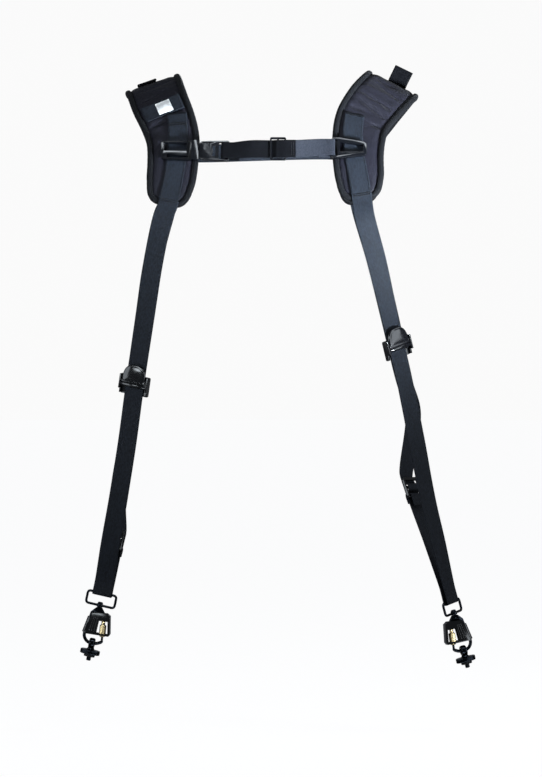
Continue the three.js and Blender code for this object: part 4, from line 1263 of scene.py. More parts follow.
@dataclass
class Sling:
    """Webbing of one side, from the pad's front round the swivel ring and up behind."""

    side: Side
    arch: Arch

    # Along, then left and right shares of PAD_WIDTH, then lift as a share of BINDING_THICKNESS
    PAD_RUN = (
        (0.3, 0.195, -0.165, 0), (0.215, 0.095, -0.13, 0), (0.147, 0.06, -0.075, 0),
        (0.082, 0.035, -0.03, 0), (0.03, 0.03, 0.01, 0.1), (0.002, 0.03, 0.02, 0.1),
    )

    @property
    def sizes(self) -> SideSizes:
        """Sizes of this side."""
        return SIZES[self.side]

    def chain_frame(self) -> Matrix:
        """Frame of the hanging chain at the middle of the ring."""
        sizes, sign = self.sizes, self.side.value
        place = Matrix.Translation((sign * sizes.hook_out, -sizes.hook_depth, -sizes.hook_drop))
        return place @ Matrix.Rotation(math.radians(-sign * sizes.chain_tilt), 4, "Y")

    def ring_frame(self) -> Matrix:
        """Frame of the swivel ring."""
        turn = math.radians(self.side.value * self.sizes.ring_turn)
        return self.chain_frame() @ Matrix.Rotation(turn, 4, "Z")

    def ladder_frame(self) -> Matrix:
        """Frame of the strap adjuster."""
        place = route_stations(self.side, [(*self.sizes.ladder, 0)], BACK_DEPTH)[0].centre
        ring = self.ring_frame() @ Vector((0, 0, RING_HEIGHT / 2))
        up = (place - ring).normalized()
        turn = math.radians(self.sizes.ladder_turn)
        normal = Vector((self.side.value * math.sin(turn), -math.cos(turn), 0))
        normal = (normal - up * normal.dot(up)).normalized()
        return frame_at(place, (-normal).cross(up).normalized(), normal)

    def sling_strip(self) -> Strip:
        """Webbing from the pad round the ring to the adjuster."""
        ring_bar = self.ring_frame() @ Matrix.Translation((0, 0, (RING_HEIGHT - RING_WIRE) / 2))
        down = (
            self.ladder_frame()
            @ Matrix.Translation((0, 0, -(LADDER_HEIGHT - LADDER_BAR) / 2))
            @ Matrix.Rotation(math.pi, 4, "X")
        )
        stations = []
        for row_along, left, right, lift in self.PAD_RUN:
            along = min(row_along, self.sizes.run_top)
            offset = (left if self.side is Side.LEFT else right) * PAD_WIDTH
            centre = self.arch.on(along, offset, PAD_RUN_LIFT + lift * BINDING_THICKNESS)
            stations.append(Station(centre, self.arch.at(along).normal))
        stations += route_stations(self.side, self.sizes.front, CHEST_DEPTH)
        stations += fold_stations(ring_bar, RING_WIRE, RING_WIRE, TAPE_THICKNESS, 16, 16)
        stations += fold_stations(down, LADDER_BAR, LADDER_BAR, TAPE_THICKNESS, 8, LADDER_TAIL)
        return Strip(stations, TAPE_WIDTH, TAPE_THICKNESS, ripple=0.25, seed=self.side.value * 5.0)

    def rear_strip(self) -> Strip:
        """Webbing from the adjuster to the pad's rear tip."""
        bars = self.ladder_frame()
        floor = BINDING_THICKNESS / 2 + GAP + TAPE_THICKNESS / 2
        stations = []
        for i, (depth, height) in enumerate(THREADING):
            before, after = THREADING[max(i - 1, 0)], THREADING[min(i + 1, len(THREADING) - 1)]
            normal = Vector((0, before[1] - after[1], after[0] - before[0])).normalized()
            centre = bars @ Vector((0, depth, height))
            stations.append(Station(centre, bars.to_3x3() @ normal))
        stations += route_stations(self.side, self.sizes.rear, BACK_DEPTH)
        stations += [Station(self.arch.on(s, 0, floor), -self.arch.at(s).normal) for s in (0.995, 0.95, 0.88)]
        return Strip(stations, TAPE_WIDTH, TAPE_THICKNESS, seed=self.side.value * 8.0)

    def tab_strip(self) -> Strip:
        """Webbing end on top of the shoulder, flat on the left and standing on the right."""
        top = TAB_ALONG
        floor = BINDING_THICKNESS / 2 + GAP + TAB_THICKNESS / 2
        reach = TAB_LENGTH / self.arch.length / 2
        offset = self.sizes.tab_offset

        def lying(share: float) -> Station:
            """Station on the pad."""
            return Station(self.arch.on(share, offset, floor), self.arch.at(share).normal)

        def risen(height: float) -> Station:
            """Station that stands above the pad."""
            return Station(self.arch.on(top, offset, floor + height), self.arch.at(top).tangent)

        if self.sizes.tab_stands:
            stations = [lying(top + reach), lying(top + reach * 0.3), risen(3), risen(TAB_RISE)]
        else:
            stations = [lying(top + reach), lying(top), lying(top - reach)]
        return Strip(stations, TAPE_WIDTH, TAB_THICKNESS)

    def build(self) -> None:
        """Makes the webbing of this side and its sewing."""
        word = self.side.word
        thread = Shell()
        for strip, name, node, finish in (
            (self.sling_strip(), "sling_tape", "sling_webbing", NYLON_WEBBING),
            (self.rear_strip(), "rear_tape", "rear_webbing", NYLON_WEBBING),
            (self.tab_strip(), "shoulder_tape", "shoulder_tab", CHEST_WEBBING),
        ):
            shell = Shell()
            strip.skin(shell)
            shell.make(f"{word}_{name}", finish, "root", f"{word}_{node}")
        front = self.sling_strip()
        pad_end = self.arch.length * self.sizes.run_top - 1
        top = 16.0 if self.side is Side.LEFT else 1.8
        # thick, close rows of dark thread: real cross stitching, and partly a painted shade line in the seam
        # at each end of the sewn run
        for run in (pad_end, pad_end + 1.6, top, top + 1.6):
            stitches(thread, sewn_across(front, run, 11.5), pitch=2.2, length=2.0, radius=0.5)
        for offset in (-10.8, 10.8):
            stitches(thread, sewn_line(front, 3, pad_end - 2, offset))
        rear = self.rear_strip()
        whole = rear.route()[-1].run
        flipped = Strip(rear.stations, rear.width, -rear.thickness)
        for run in (whole - 4, whole - 7, whole - 42):
            stitches(thread, sewn_across(flipped, run, 10.5), pitch=2.6, length=2.0)
        for offset in (-10.6, 10.6):
            stitches(thread, sewn_line(flipped, whole - 40, whole - 4, offset))
        tab = self.tab_strip()
        for run in (6.0, 9.0):
            stitches(thread, sewn_across(tab, run, 10.5), pitch=2.6, length=2.0)
        thread.make(f"{word}_tape_stitching", SEWING_THREAD, "root")


@dataclass
class BlankLabel:
    """Plain white woven label on its dark band, across the left pad."""

    arch: Arch
    along: float = LABEL_ALONG
    offset: float = 2.5
    band_width: float = 25.0
    band_thickness: float = 1.2
    width: float = 20.0
    height: float = 20.0
    thickness: float = 0.8

    def build(self) -> None:
        """Makes the band, the label and the label's stitches."""
        here = self.arch.at(self.along)
        lift = PAD_THICKNESS / 2 + GAP + self.band_thickness / 2
        reach = here.width / 2 - BINDING_WIDTH - 2
        stations = [Station(self.arch.on(self.along, s * reach, lift), -here.normal) for s in (-1, 0, 1)]
        band = Strip(stations, self.band_width, self.band_thickness)
        shell = Shell()
        band.skin(shell)
        shell.make("left_band_tape", NYLON_WEBBING, "root", "left_label_band")

        face = lift + self.band_thickness / 2 + GAP
        place = frame_at(self.arch.on(self.along, self.offset, face), here.across, here.normal)
        shell = Shell()
        half, high = self.width / 2, self.height / 2
        rows = []
        for z, pull in ((-high, 0.0), (-high + 0.5, 1.0), (0, 1.15), (high - 0.5, 1.0), (high, 0.0)):
            row = []
            for k in range(13):
                x = lerp(-half, half, k / 12)
                edge = smooth_step((half - abs(x)) * 1.6)
                row.append((x, z, -self.thickness * (0.35 + 0.65 * min(pull, 1.0) * edge)))
            rows.append(row)
        rings = []
        for row in rows:
            front = [Vector((x, self.thickness + y, z)) for x, z, y in row]
            back = [Vector((x, self.thickness, z)) for x, z, _ in reversed(row)]
            rings.append(front + back)
        shell.loft(rings, place=place)
        shell.make("woven_label", LABEL_CLOTH, "root", "blank_label")

        thread = Shell()
        inset = 1.2
        loop = rounded([
            (-half + inset, -high + inset), (half - inset, -high + inset),
            (half - inset, high - inset), (-half + inset, high - inset),
        ], 0.6)
        path = [(place @ Vector((x, 0, z)), here.normal) for x, z in loop + loop[:1]]
        stitches(thread, path, pitch=2.0, length=1.5, radius=0.2)
        thread.make("label_stitching", LABEL_CLOTH, "root")


@dataclass
class ChestStrap:
    """Chest webbing and elastic between the two pads' fittings."""

    left: Arch
    right: Arch
    buckle_frame_length: float = 38.0
    socket_length: float = 9.0
    buckle_thickness: float = 4.4
    socket_thickness: float = 7.6
    male_length: float = 38.0
    slider_length: float = 44.0
    glide_pitch: float = 9.0
    glide_bar: float = 2.0
    standoff: float = 1.6
    strap_depth: float = 121.0
    strap_drop: float = 69.0
    glide_out: float = 15.0
    free_end: float = 22.0
    ladder_pitch: float = 7.0
    buckle_along: float = 0.162
    buckle_offset: float = 4.0
    slider_along: float = 0.148
    slider_offset: float = -12.0
    sewing_insets: tuple[float, float] = (3.5, 6.0)

    @staticmethod
    def fitting_frame(arch: Arch, along: float, offset: float) -> Matrix:
        """Frame of a fitting that rides on the pad's webbing.

        Args:
            arch: The pad.
            along: Share of its arch.
            offset: Distance across.

        Returns:
            The frame.
        """
        here = arch.at(along)
        return frame_at(arch.on(along, offset, PAD_RUN_LIFT), here.across, here.normal)

    def glide_frame(self) -> Matrix:
        """Frame of the three-bar slide."""
        return Matrix.Translation((self.glide_out, -self.strap_depth, -self.strap_drop))

    def webbing(self) -> Strip:
        """Strip from the buckle's tongue through the slide to its folded end."""
        buckle = self.fitting_frame(self.left, self.buckle_along, self.buckle_offset)
        back = -(TAPE_THICKNESS / 2 + GAP + self.standoff)
        middle = back - self.socket_thickness / 2
        male_end = self.buckle_frame_length / 2 + self.socket_length + GAP + self.male_length
        bar = buckle @ Matrix.Translation((male_end - self.ladder_pitch, middle, 0))
        bar = bar @ Matrix.Rotation(math.pi / 2, 4, "Y")
        stations = fold_stations(bar, 2.8, self.buckle_thickness, CHEST_TAPE_THICKNESS, 12, 20)[::-1]
        lift = self.glide_bar / 2 + GAP + CHEST_TAPE_THICKNESS / 2
        over = lift + CHEST_TAPE_THICKNESS + GAP
        glide = self.glide_frame()
        for x, y in (
            (-32, 1.2), (-self.glide_pitch - 3, lift + 0.2), (-self.glide_pitch * 0.8, lift),
            (-self.glide_pitch * 0.2, -lift), (0, -lift - 0.1), (self.glide_pitch, -over - 0.4),
            (self.free_end, -over - 0.4),
        ):
            stations.append(Station(glide @ Vector((x, y, 0)), Vector((0, -1, 0))))
        return Strip(stations, CHEST_TAPE_WIDTH, CHEST_TAPE_THICKNESS, pitch=1.6)

    def elastic(self) -> Strip:
        """Strip from the slide to the fitting on the right pad."""
        back = -(TAPE_THICKNESS / 2 + GAP + self.standoff)
        slider = self.fitting_frame(self.right, self.slider_along, self.slider_offset)
        glide = self.glide_frame() @ Matrix.Translation((self.glide_pitch, 0, 0))
        reach = self.slider_length / 2 - 1.5
        bar = slider @ Matrix.Translation((-reach, back - self.buckle_thickness / 2, 0))
        start = fold_stations(
            glide @ Matrix.Rotation(math.pi / 2, 4, "Y"), self.glide_bar, self.glide_bar,
            CHEST_TAPE_THICKNESS, 14, 16)[::-1]
        end = fold_stations(
            bar @ Matrix.Rotation(-math.pi / 2, 4, "Y"), 3, self.buckle_thickness,
            CHEST_TAPE_THICKNESS, 9, 18)
        return Strip(start + end, CHEST_TAPE_WIDTH, CHEST_TAPE_THICKNESS, pitch=1.6)

    def build(self) -> None:
        """Makes both strips, their end folds and the sewing, which follows a coarser strip."""
        webbing, elastic = self.webbing(), self.elastic()
        shell = Shell()
        webbing.skin(shell)
        shell.make("chest_tape", CHEST_WEBBING, "root", "chest_webbing")
        shell = Shell()
        elastic.skin(shell)
        shell.make("elastic_tape", ELASTIC_TAPE, "root", "elastic_webbing")
        thread = Shell()
        whole = webbing.route()[-1].run
        sewn = Strip(webbing.stations, webbing.width, webbing.thickness)
        for inset in self.sewing_insets:
            stitches(thread, sewn_across(sewn, whole - inset, 9), pitch=2.4, length=1.9)
        thread.make("chest_stitching", SEWING_THREAD, "root")


@dataclass
class RearStrap:
    """Webbing that joins the two pads behind."""

    left: Arch
    right: Arch
    along: float = 0.84

    def strip(self) -> Strip:
        """The strip from pad to pad."""
        lift = BINDING_THICKNESS / 2 + GAP + TAPE_THICKNESS / 2
        stations = [
            Station(arch.on(self.along, offset, lift), arch.at(self.along).normal)
            for arch, offset in (
                (self.left, 0), (self.left, PAD_WIDTH / 2 + 4),
                (self.right, -PAD_WIDTH / 2 - 4), (self.right, 0),
            )
        ]
        return Strip(stations, TAPE_WIDTH, TAPE_THICKNESS)

    def build(self) -> None:
        """Makes the strap and the boxes sewn at its ends."""
        strip = self.strip()
        shell = Shell()
        strip.skin(shell)
        shell.make("rear_cross_tape", NYLON_WEBBING, "root", "rear_cross_strap")
        thread = Shell()
        whole = strip.route()[-1].run
        for near, far in ((3.0, 30.0), (whole - 30.0, whole - 3.0)):
            for run in (near, far):
                stitches(thread, sewn_across(strip, run, 10), pitch=2.6, length=2.0)
            for offset in (-10.0, 10.0):
                stitches(thread, sewn_line(strip, near, far, offset))
        thread.make("rear_stitching", SEWING_THREAD, "root")


@dataclass
class CamLock:
    """Strap stop above the hook: side-plated body and its domed lever."""

    sling: Sling
    width: float = 38.0
    wall: float = 1.9
    rise: float = 26.0
    pin_diameter: float = 3.0
    pin_standoff: float = 4.6

    def place(self) -> Matrix:
        """Frame of the stop on the webbing."""
        sizes = SIZES[self.sling.side]
        top = -sizes.front[0][0] * sizes.hook_drop
        height = lerp(top, -sizes.hook_drop, sizes.cam)
        route = self.sling.sling_strip().route()
        below = next(i for i, p in enumerate(route) if p.centre.z < height)
        a, b = route[below - 1], route[below]
        share = (a.centre.z - height) / (a.centre.z - b.centre.z)
        normal = a.normal.lerp(b.normal, share).normalized()
        across = -a.across.lerp(b.across, share)
        across = (across - normal * across.dot(normal)).normalized()
        return frame_at(a.centre.lerp(b.centre, share), across, normal)

    def dome_outline(self) -> list[tuple[float, float]]:
        """Outline of the thumb plate: flat foot, rounded top."""
        wide = self.width / 2 - 2.6
        foot = self.pin_diameter / 2 + 2.3
        top = self.rise - 0.2
        arc = []
        for k in range(41):
            angle = math.pi * k / 40
            u, v = math.cos(angle), math.sin(angle)
            x = math.copysign(abs(u) ** 0.78, u) * wide
            narrowing = 0.93 + 0.07 * math.sin(angle) ** 0.5
            arc.append((x * narrowing, foot + 2 + (top - foot - 2) * v ** 0.86))
        corner = [
            (-wide * 0.93, foot + 0.8), (-wide * 0.82, foot), (wide * 0.82, foot), (wide * 0.93, foot + 0.8),
        ]
        return arc + corner

    def lever(self) -> None:
        """Makes the lever: barrel on the pin, arm and domed thumb plate."""
        shell = Shell()
        outline = self.dome_outline()
        middle = Vector((0, 0, (self.rise + 4) / 2))
        rings = []
        levels = [0.02, 0.2, 0.4, 0.6, 0.75, 0.84, 0.885, 0.92, 0.95, 0.975, 0.992, 1.0]
        for share in levels:
            dome = 2.6 * (1 - share**6) ** 0.5 + 0.9 * (1 - share**2)
            bead = 0.5 * math.exp(-(((share - 0.92) / 0.035) ** 2))
            rings.append(self.dome_ring(outline, middle, share, -0.9 - dome - bead + 0.3))
        for share in reversed(levels[:-1]):
            rings.append(self.dome_ring(outline, middle, share, -0.9 + 2.6 * (1 - share**6) ** 0.5))
        shell.loft(rings)
        barrel_half = self.width / 2 - self.wall - GAP
        bore, radius = self.pin_diameter / 2 + GAP, self.pin_diameter / 2 + 1.4
        barrel = [
            (bore, -barrel_half), (radius - 0.4, -barrel_half), (radius, -barrel_half + 0.4),
            (radius, barrel_half - 0.4), (radius - 0.4, barrel_half), (bore, barrel_half),
        ]
        turn = Matrix.Rotation(math.pi / 2, 4, "Y")
        shell.loft(turned(barrel, 32), closed=True, place=turn)
        reach = barrel_half - 1
        arm = rounded([(-reach, -2.5), (reach, -2.5), (reach, 0.5), (-reach, 0.5)], 0.8)
        shell.loft([[Vector((x, y, z)) for x, y in arm] for z in (1.9, 4, 7.4)])
        place = self.place() @ Matrix.Translation((0, -(TAPE_THICKNESS / 2 + self.pin_standoff), -6))
        whole = Shell()
        whole.add(shell.points, shell.faces, shell.cloth, place)
        word = self.sling.side.word
        whole.make(f"{word}_thumb_lever", MOULDED_ACETAL, f"{word}_lever", f"{word}_cam_lever")

    @staticmethod
    def dome_ring(
        outline: Sequence[tuple[float, float]], middle: Vector, share: float, depth: float
    ) -> list[Vector]:
        """Outline drawn in towards the middle at a depth.

        Args:
            outline: Points in X and Z.
            middle: Point that the outline shrinks to.
            share: Share of the outline's size.
            depth: Y of the ring.

        Returns:
            The ring.
        """
        return [
            Vector((middle.x + (x - middle.x) * share, depth, middle.z + (z - middle.z) * share))
            for x, z in outline
        ]

    def build(self) -> None:
        """Makes the lever and dresses the body."""
        self.lever()
        dress_node(f"{self.sling.side.word}_cam_body", MOULDED_ACETAL, 0.4)


@dataclass
class SwivelHook:
    """Ring, hook with its gate, sleeve and cover, and the fastener that hangs in it."""

    sling: Sling
    length: float = 47.6
    half_width: float = 12.0
    wire: float = 4.2
    gate_length: float = 26.0
    gate_diameter: float = 3.0
    gate_lean: float = 7.0
    nose_length: float = 4.2
    boss_diameter: float = 8.5
    boss_height: float = 4.4
    stud_diameter: float = 4.2
    stud_head: float = 7.0
    cover_bottom: float = 36.0
    cover_front: float = 6.1
    sleeve_diameter: float = 8.4
    sleeve_length: float = 21.0
    sleeve_grooves: int = 9
    eye_diameter: float = 14.0
    eye_hole: float = 6.0
    eye_thickness: float = 7.4
    disc_diameter: float = 25.0
    disc_thickness: float = 5.6
    disc_drop: float = 8.2
    washer_diameter: float = 14.0
    washer_thickness: float = 3.0
    screw_diameter: float = 6.35
    screw_length: float = 5.0
    screw_pitch: float = 1.27

    @property
    def word(self) -> str:
        """Prefix of the side's node names."""
        return self.sling.side.word

    def hook_frame(self) -> Matrix:
        """Frame of the hook at the ring's lower edge, +X towards the gate."""
        turn = math.radians(SIZES[self.sling.side].hook_turn)
        spin = -turn if self.sling.side is Side.LEFT else math.pi + turn
        lowered = self.sling.chain_frame() @ Matrix.Translation((0, 0, -RING_HEIGHT / 2))
        return lowered @ Matrix.Rotation(spin, 4, "Z")

    @property
    def hinge(self) -> Vector:
        """Middle of the gate's pin."""
        return Vector((self.half_width * 0.66, 0, -11))

    @property
    def gate_line(self) -> Vector:
        """Direction of the gate from its pin."""
        lean = math.radians(self.gate_lean)
        return Vector((math.sin(lean), 0, -math.cos(lean)))

    def gate_frame(self, distance: float) -> Matrix:
        """Frame on the gate's line, Z back up the gate."""
        place = self.hook_frame() @ Matrix.Translation(self.hinge + self.gate_line * distance)
        return place @ Matrix.Rotation(math.radians(-self.gate_lean), 4, "Y")

    def ring(self) -> None:
        """Makes the webbing ring and its boss."""
        shell = Shell()
        place = self.sling.ring_frame()
        wide, high = (RING_WIDTH - RING_WIRE) / 2, (RING_HEIGHT - RING_WIRE) / 2
        loop = rounded([(-wide, -high), (wide, -high), (wide, high), (-wide, high)], 4.0, 7)
        path = [Vector((x, 0, z)) for x, z in loop]
        shell.loft(tube(path, RING_WIRE / 2, closed=True, sides=18), closed=True, place=place)
        bore, radius, half = self.stud_diameter / 2 + GAP, self.boss_diameter / 2, self.boss_height / 2
        boss = [
            (bore, -half), (radius - 0.7, -half), (radius - 0.15, -half + 0.5), (radius, -half + 1),
            (radius, half - 1), (radius - 0.15, half - 0.5), (radius - 0.7, half), (bore, half),
        ]
        shell.loft(turned(boss, 40), closed=True, place=place @ Matrix.Translation((0, 0, -high)))
        shell.make(f"{self.word}_webbing_ring", BLACK_STEEL, "root", f"{self.word}_swivel_ring")

    def hook(self) -> None:
        """Makes the stud, shoulder, bow and nose."""
        shell = Shell()
        place = self.hook_frame()
        top, bottom = RING_WIRE / 2 + self.boss_height / 2, RING_WIRE / 2 - self.boss_height / 2
        foot = top + GAP
        stud, head = self.stud_diameter / 2, self.stud_head / 2
        profile = [
            (0.02, bottom - 4), (stud, bottom - 4), (stud, foot), (head - 0.2, foot), (head, foot + 0.4),
            (head * 0.92, foot + 1.2), (head * 0.6, foot + 1.85), (0.02, foot + 2.0),
        ]
        shell.loft(turned(profile, 36), closed=True, place=place)
        hinge = self.hinge
        spine = Vector((-self.half_width * 0.64, 0, -8))
        spine_end = Vector((-self.half_width, 0, -self.cover_bottom + 1))
        neck = bottom - GAP
        outline = rounded([
            (-3.2, neck), (3.2, neck), (hinge.x + 1.4, -8.2), (hinge.x + 2.4, -11.5), (hinge.x - 1.2, -13.6),
            (1.5, -8.5), (-2.5, -8), (spine.x + 1.6, -12), (spine.x - 2, -11), (spine.x - 1.4, -7.5),
        ], 1.2)
        half = 3.5
        for low, high in ((-half, -1.8), (1.8, half)):
            shell.loft(self.plate(outline, low, high, 0.35), place=place)
        web = rounded([
            (-3.2, neck), (3.0, neck), (3.6, -7), (3.2, -9.6), (1.5, -8.5), (-2.5, -8), (spine.x + 1.6, -12),
            (spine.x - 2, -11), (spine.x - 1.4, -7.5),
        ], 1.2)
        shell.loft(self.plate(web, -2.4, 2.4, 0.0), place=place)
        pin = [(0.02, -3.6), (0.8, -3.6), (0.9, -3.4), (0.9, 3.4), (0.8, 3.6), (0.02, 3.6)]
        pin_place = place @ Matrix.Translation(hinge) @ Matrix.Rotation(math.pi / 2, 4, "X")
        shell.loft(turned(pin, 20), closed=True, place=pin_place)
        nose_top = hinge + self.gate_line * (self.gate_length + GAP)
        nose_end = nose_top + self.gate_line * self.nose_length
        bow = RouteCurve([
            spine, spine.lerp(spine_end, 0.5), spine_end,
            Vector((-self.half_width * 0.93, 0, -self.length + 6.6)),
            Vector((-self.half_width * 0.58, 0, -self.length + 1.7)),
            Vector((0, 0, -self.length)),
            Vector((self.half_width * 0.58, 0, -self.length + 1.5)),
            nose_end + self.gate_line * 1.6,
            nose_end, nose_end.lerp(nose_top, 0.6), nose_top,
        ])

        def thickness(share: float) -> float:
            """Wire radius, thinner towards the nose."""
            return lerp(self.wire, self.gate_diameter, smooth_step((share - 0.64) / 0.12)) / 2

        wire = tube([bow.at(i / 90) for i in range(91)], thickness, sides=18)
        shell.loft(wire, place=place)
        shell.make(f"{self.word}_snap_hook", BLACK_STEEL, f"{self.word}_hook", f"{self.word}_carabiner")

    @staticmethod
    def plate(
        outline: Sequence[tuple[float, float]], low: float, high: float, edge: float
    ) -> list[list[Vector]]:
        """Rings of a flat plate in X and Z with eased edges.

        Args:
            outline: Points in X and Z.
            low: Y of one face.
            high: Y of the other.
            edge: Size of the eased edge.

        Returns:
            The rings.
        """
        centre_x = sum(x for x, _ in outline) / len(outline)
        centre_z = sum(z for _, z in outline) / len(outline)
        rings = []
        for y, inset in ((low, edge), (low + edge * 0.4, edge * 0.3), (low + edge, 0), (high - edge, 0),
                         (high - edge * 0.4, edge * 0.3), (high, edge)):
            ring = []
            for x, z in outline:
                reach = max(math.hypot(x - centre_x, z - centre_z), 0.1)
                share = 1 - inset / reach
                ring.append(Vector((centre_x + (x - centre_x) * share, y, centre_z + (z - centre_z) * share)))
            rings.append(ring)
        return rings

    def gate(self) -> None:
        """Makes the spring gate with its eye."""
        shell = Shell()
        place = self.gate_frame(0)
        radius = self.gate_diameter / 2
        bore, outer = 0.9 + GAP, radius + 0.5
        eye = [
            (bore, -radius), (outer - 0.3, -radius), (outer, -radius + 0.3), (outer, radius - 0.3),
            (outer - 0.3, radius), (bore, radius),
        ]
        shell.loft(turned(eye, 28), closed=True, place=place @ Matrix.Rotation(math.pi / 2, 4, "X"))
        rod = [
            (0.02, -self.gate_length), (radius - 0.3, -self.gate_length), (radius, -self.gate_length + 0.3),
            (radius, -1.6), (0.02, -1.6),
        ]
        shell.loft(turned(rod, 24), closed=True, place=place)
        shell.make(f"{self.word}_gate_rod", BLACK_STEEL, f"{self.word}_gate_arm", f"{self.word}_gate")

    def sleeve(self) -> None:
        """Makes the threaded sleeve with its grooved grip."""
        bore = self.gate_diameter / 2 + GAP
        wide, collar, top = self.sleeve_diameter / 2, self.gate_diameter / 2 + GAP + 0.6, self.sleeve_length
        profile = [
            (bore, 0.2), (bore + 0.2, 0), (wide * 0.72, 0), (wide * 0.8, 0.5), (wide * 0.96, 1.7),
            (wide, 2.4), (wide, 2.9), (wide, 3.6), (wide, top * 0.34), (wide, top * 0.6),
            (wide, top * 0.64), (wide, top * 0.67), (wide * 0.97, top * 0.69), (collar + 0.15, top * 0.735),
            (collar, top * 0.76), (collar, top * 0.82), (collar - 0.15, top * 0.83),
            (collar - 0.15, top * 0.85), (collar, top * 0.86), (collar, top - 0.3), (collar - 0.2, top),
            (bore, top),
        ]

        def grooved(radius: float, height: float, angle: float) -> float:
            """Radius with a round groove at every ninth of a turn.

            Args:
                radius: The row's own radius.
                height: The row's height.
                angle: Turn about the gate, in radians.

            Returns:
                The radius there.
            """
            if not 3.0 < height < top * 0.65 or radius < wide * 0.9:
                return radius
            phase = math.cos(angle * self.sleeve_grooves)
            return radius - 0.3 * max(phase, 0.0) ** 2.2

        shell = Shell()
        shell.loft(turned(profile, 90, grooved), closed=True, place=self.gate_frame(self.gate_length))
        shell.make(
            f"{self.word}_brass_sleeve", TURNED_BRASS, f"{self.word}_sleeve", f"{self.word}_lock_sleeve")

    def cover_ribs(self) -> None:
        """Makes the grip ribs moulded on both walls of the cover."""
        shell = Shell()
        place = self.hook_frame()
        for face in (-1, 1):
            for share in (0.24, 0.44, 0.64):
                front = face * (self.cover_front - 0.1)
                top = Vector((lerp(-6.2, 5.4, share), front, -12.5))
                end = Vector((lerp(-10.4, 5.6, share), front, -self.cover_bottom + 2.6))
                line = [top.lerp(end, k / 8) for k in range(9)]

                def thickness(where: float) -> float:
                    """Rib radius, faded at both ends."""
                    return 0.16 + 0.42 * math.sqrt(max(0.0, 1 - (2 * where - 1) ** 6))

                shell.loft(tube(line, thickness, sides=10), place=place)
        shell.make(f"{self.word}_cover_ribs", MOULDED_ACETAL, f"{self.word}_hook")

    def fastener(self) -> None:
        """Makes the eye, the knurled disc and the tripod screw."""
        shell = Shell()
        place = self.hook_frame() @ Matrix.Translation((0, 0, -self.length))
        hole, outer, half = self.eye_hole / 2, self.eye_diameter / 2, self.eye_thickness / 2
        eye = []
        for k in range(20):
            angle = k / 20 * math.tau
            u, v = math.cos(angle), math.sin(angle)
            radius = (hole + outer) / 2 + math.copysign(abs(u) ** 0.75, u) * (outer - hole) / 2
            eye.append((radius, math.copysign(abs(v) ** 0.6, v) * half))
        shell.loft(turned(eye, 48), closed=True, place=place @ Matrix.Rotation(math.pi / 2, 4, "Y"))
        top = -self.disc_drop
        bottom = top - self.disc_thickness
        rim, screw = self.disc_diameter / 2, self.screw_diameter / 2
        profile = [
            (0.02, bottom), (screw + 0.6, bottom), (rim - 2.2, bottom), (rim - 1.6, bottom + 0.25),
            (rim - 0.6, bottom), (rim - 0.15, bottom + 0.25), (rim, bottom + 0.7), (rim, top - 0.7),
            (rim - 0.15, top - 0.25), (rim - 0.6, top), (rim - 1.4, top), (rim - 1.8, top - 0.3),
            (rim - 2.6, top - 0.3), (rim - 3.0, top), (5.9, top), (5.3, top + 0.5), (4.3, top + 1.9),
            (3.6, top + 3.4), (0.02, top + 3.9),
        ]

        def knurled(radius: float, height: float, angle: float) -> float:
            """Rim radius with fine notches, the same at every height."""
            if radius < rim - 0.2:
                return radius
            return radius - 0.3 * abs(math.sin(angle * 36))

        shell.loft(turned(profile, 216, knurled), closed=True, place=place)
        end = bottom - self.washer_thickness - GAP - self.screw_length
        shell.loft(self.thread_rings(bottom + 0.2, end), place=place)
        shell.make(f"{self.word}_screw_fastener", BLACK_STEEL, f"{self.word}_screw", f"{self.word}_fastener")

    def thread_rings(self, top: float, end: float) -> list[list[Vector]]:
        """Rings of the tripod screw with its helical thread.

        Args:
            top: Height at which the screw leaves the disc.
            end: Height of its end.

        Returns:
            The rings, from top to end.
        """
        rows = int((top - end) / (self.screw_pitch / 8))
        radius = self.screw_diameter / 2
        rings = []
        for i in range(rows + 1):
            height = lerp(top, end, i / rows)
            lead_in = smooth_step((height - end) / 0.8)
            ring = []
            for k in range(32):
                angle = k / 32 * math.tau
                phase = (height / self.screw_pitch + angle / math.tau) % 1.0
                depth = 0.62 * abs(2 * phase - 1)
                reach = (radius - depth) * (0.82 + 0.18 * lead_in)
                ring.append(Vector((math.cos(angle) * reach, math.sin(angle) * reach, height)))
            rings.append(ring)
        return rings

    def washer(self) -> None:
        """Makes the rubber washer with its gripping rings."""
        outer, inner = self.washer_diameter / 2, self.screw_diameter / 2 + GAP
        top = -self.disc_drop - self.disc_thickness - GAP
        low = top - self.washer_thickness
        profile = [(inner, low + 0.2), (inner + 0.3, low)]
        for radius in (4.6, 5.4, 6.2):
            profile += [(radius - 0.25, low), (radius, low + 0.35), (radius + 0.25, low)]
        profile += [
            (outer - 0.3, low), (outer, low + 0.4), (outer, top - 0.4), (outer - 0.3, top), (inner, top),
        ]
        shell = Shell()
        place = self.hook_frame() @ Matrix.Translation((0, 0, -self.length))
        shell.loft(turned(profile, 56), closed=True, place=place)
        shell.make(f"{self.word}_rubber_washer", RUBBER, f"{self.word}_screw", f"{self.word}_washer")

    def build(self) -> None:
        """Makes all of the hanging chain."""
        self.ring()
        self.hook()
        self.gate()
        self.sleeve()
        self.cover_ribs()
        self.fastener()
        self.washer()
        dress_node(f"{self.word}_lock_cover", MOULDED_ACETAL, 0.35)


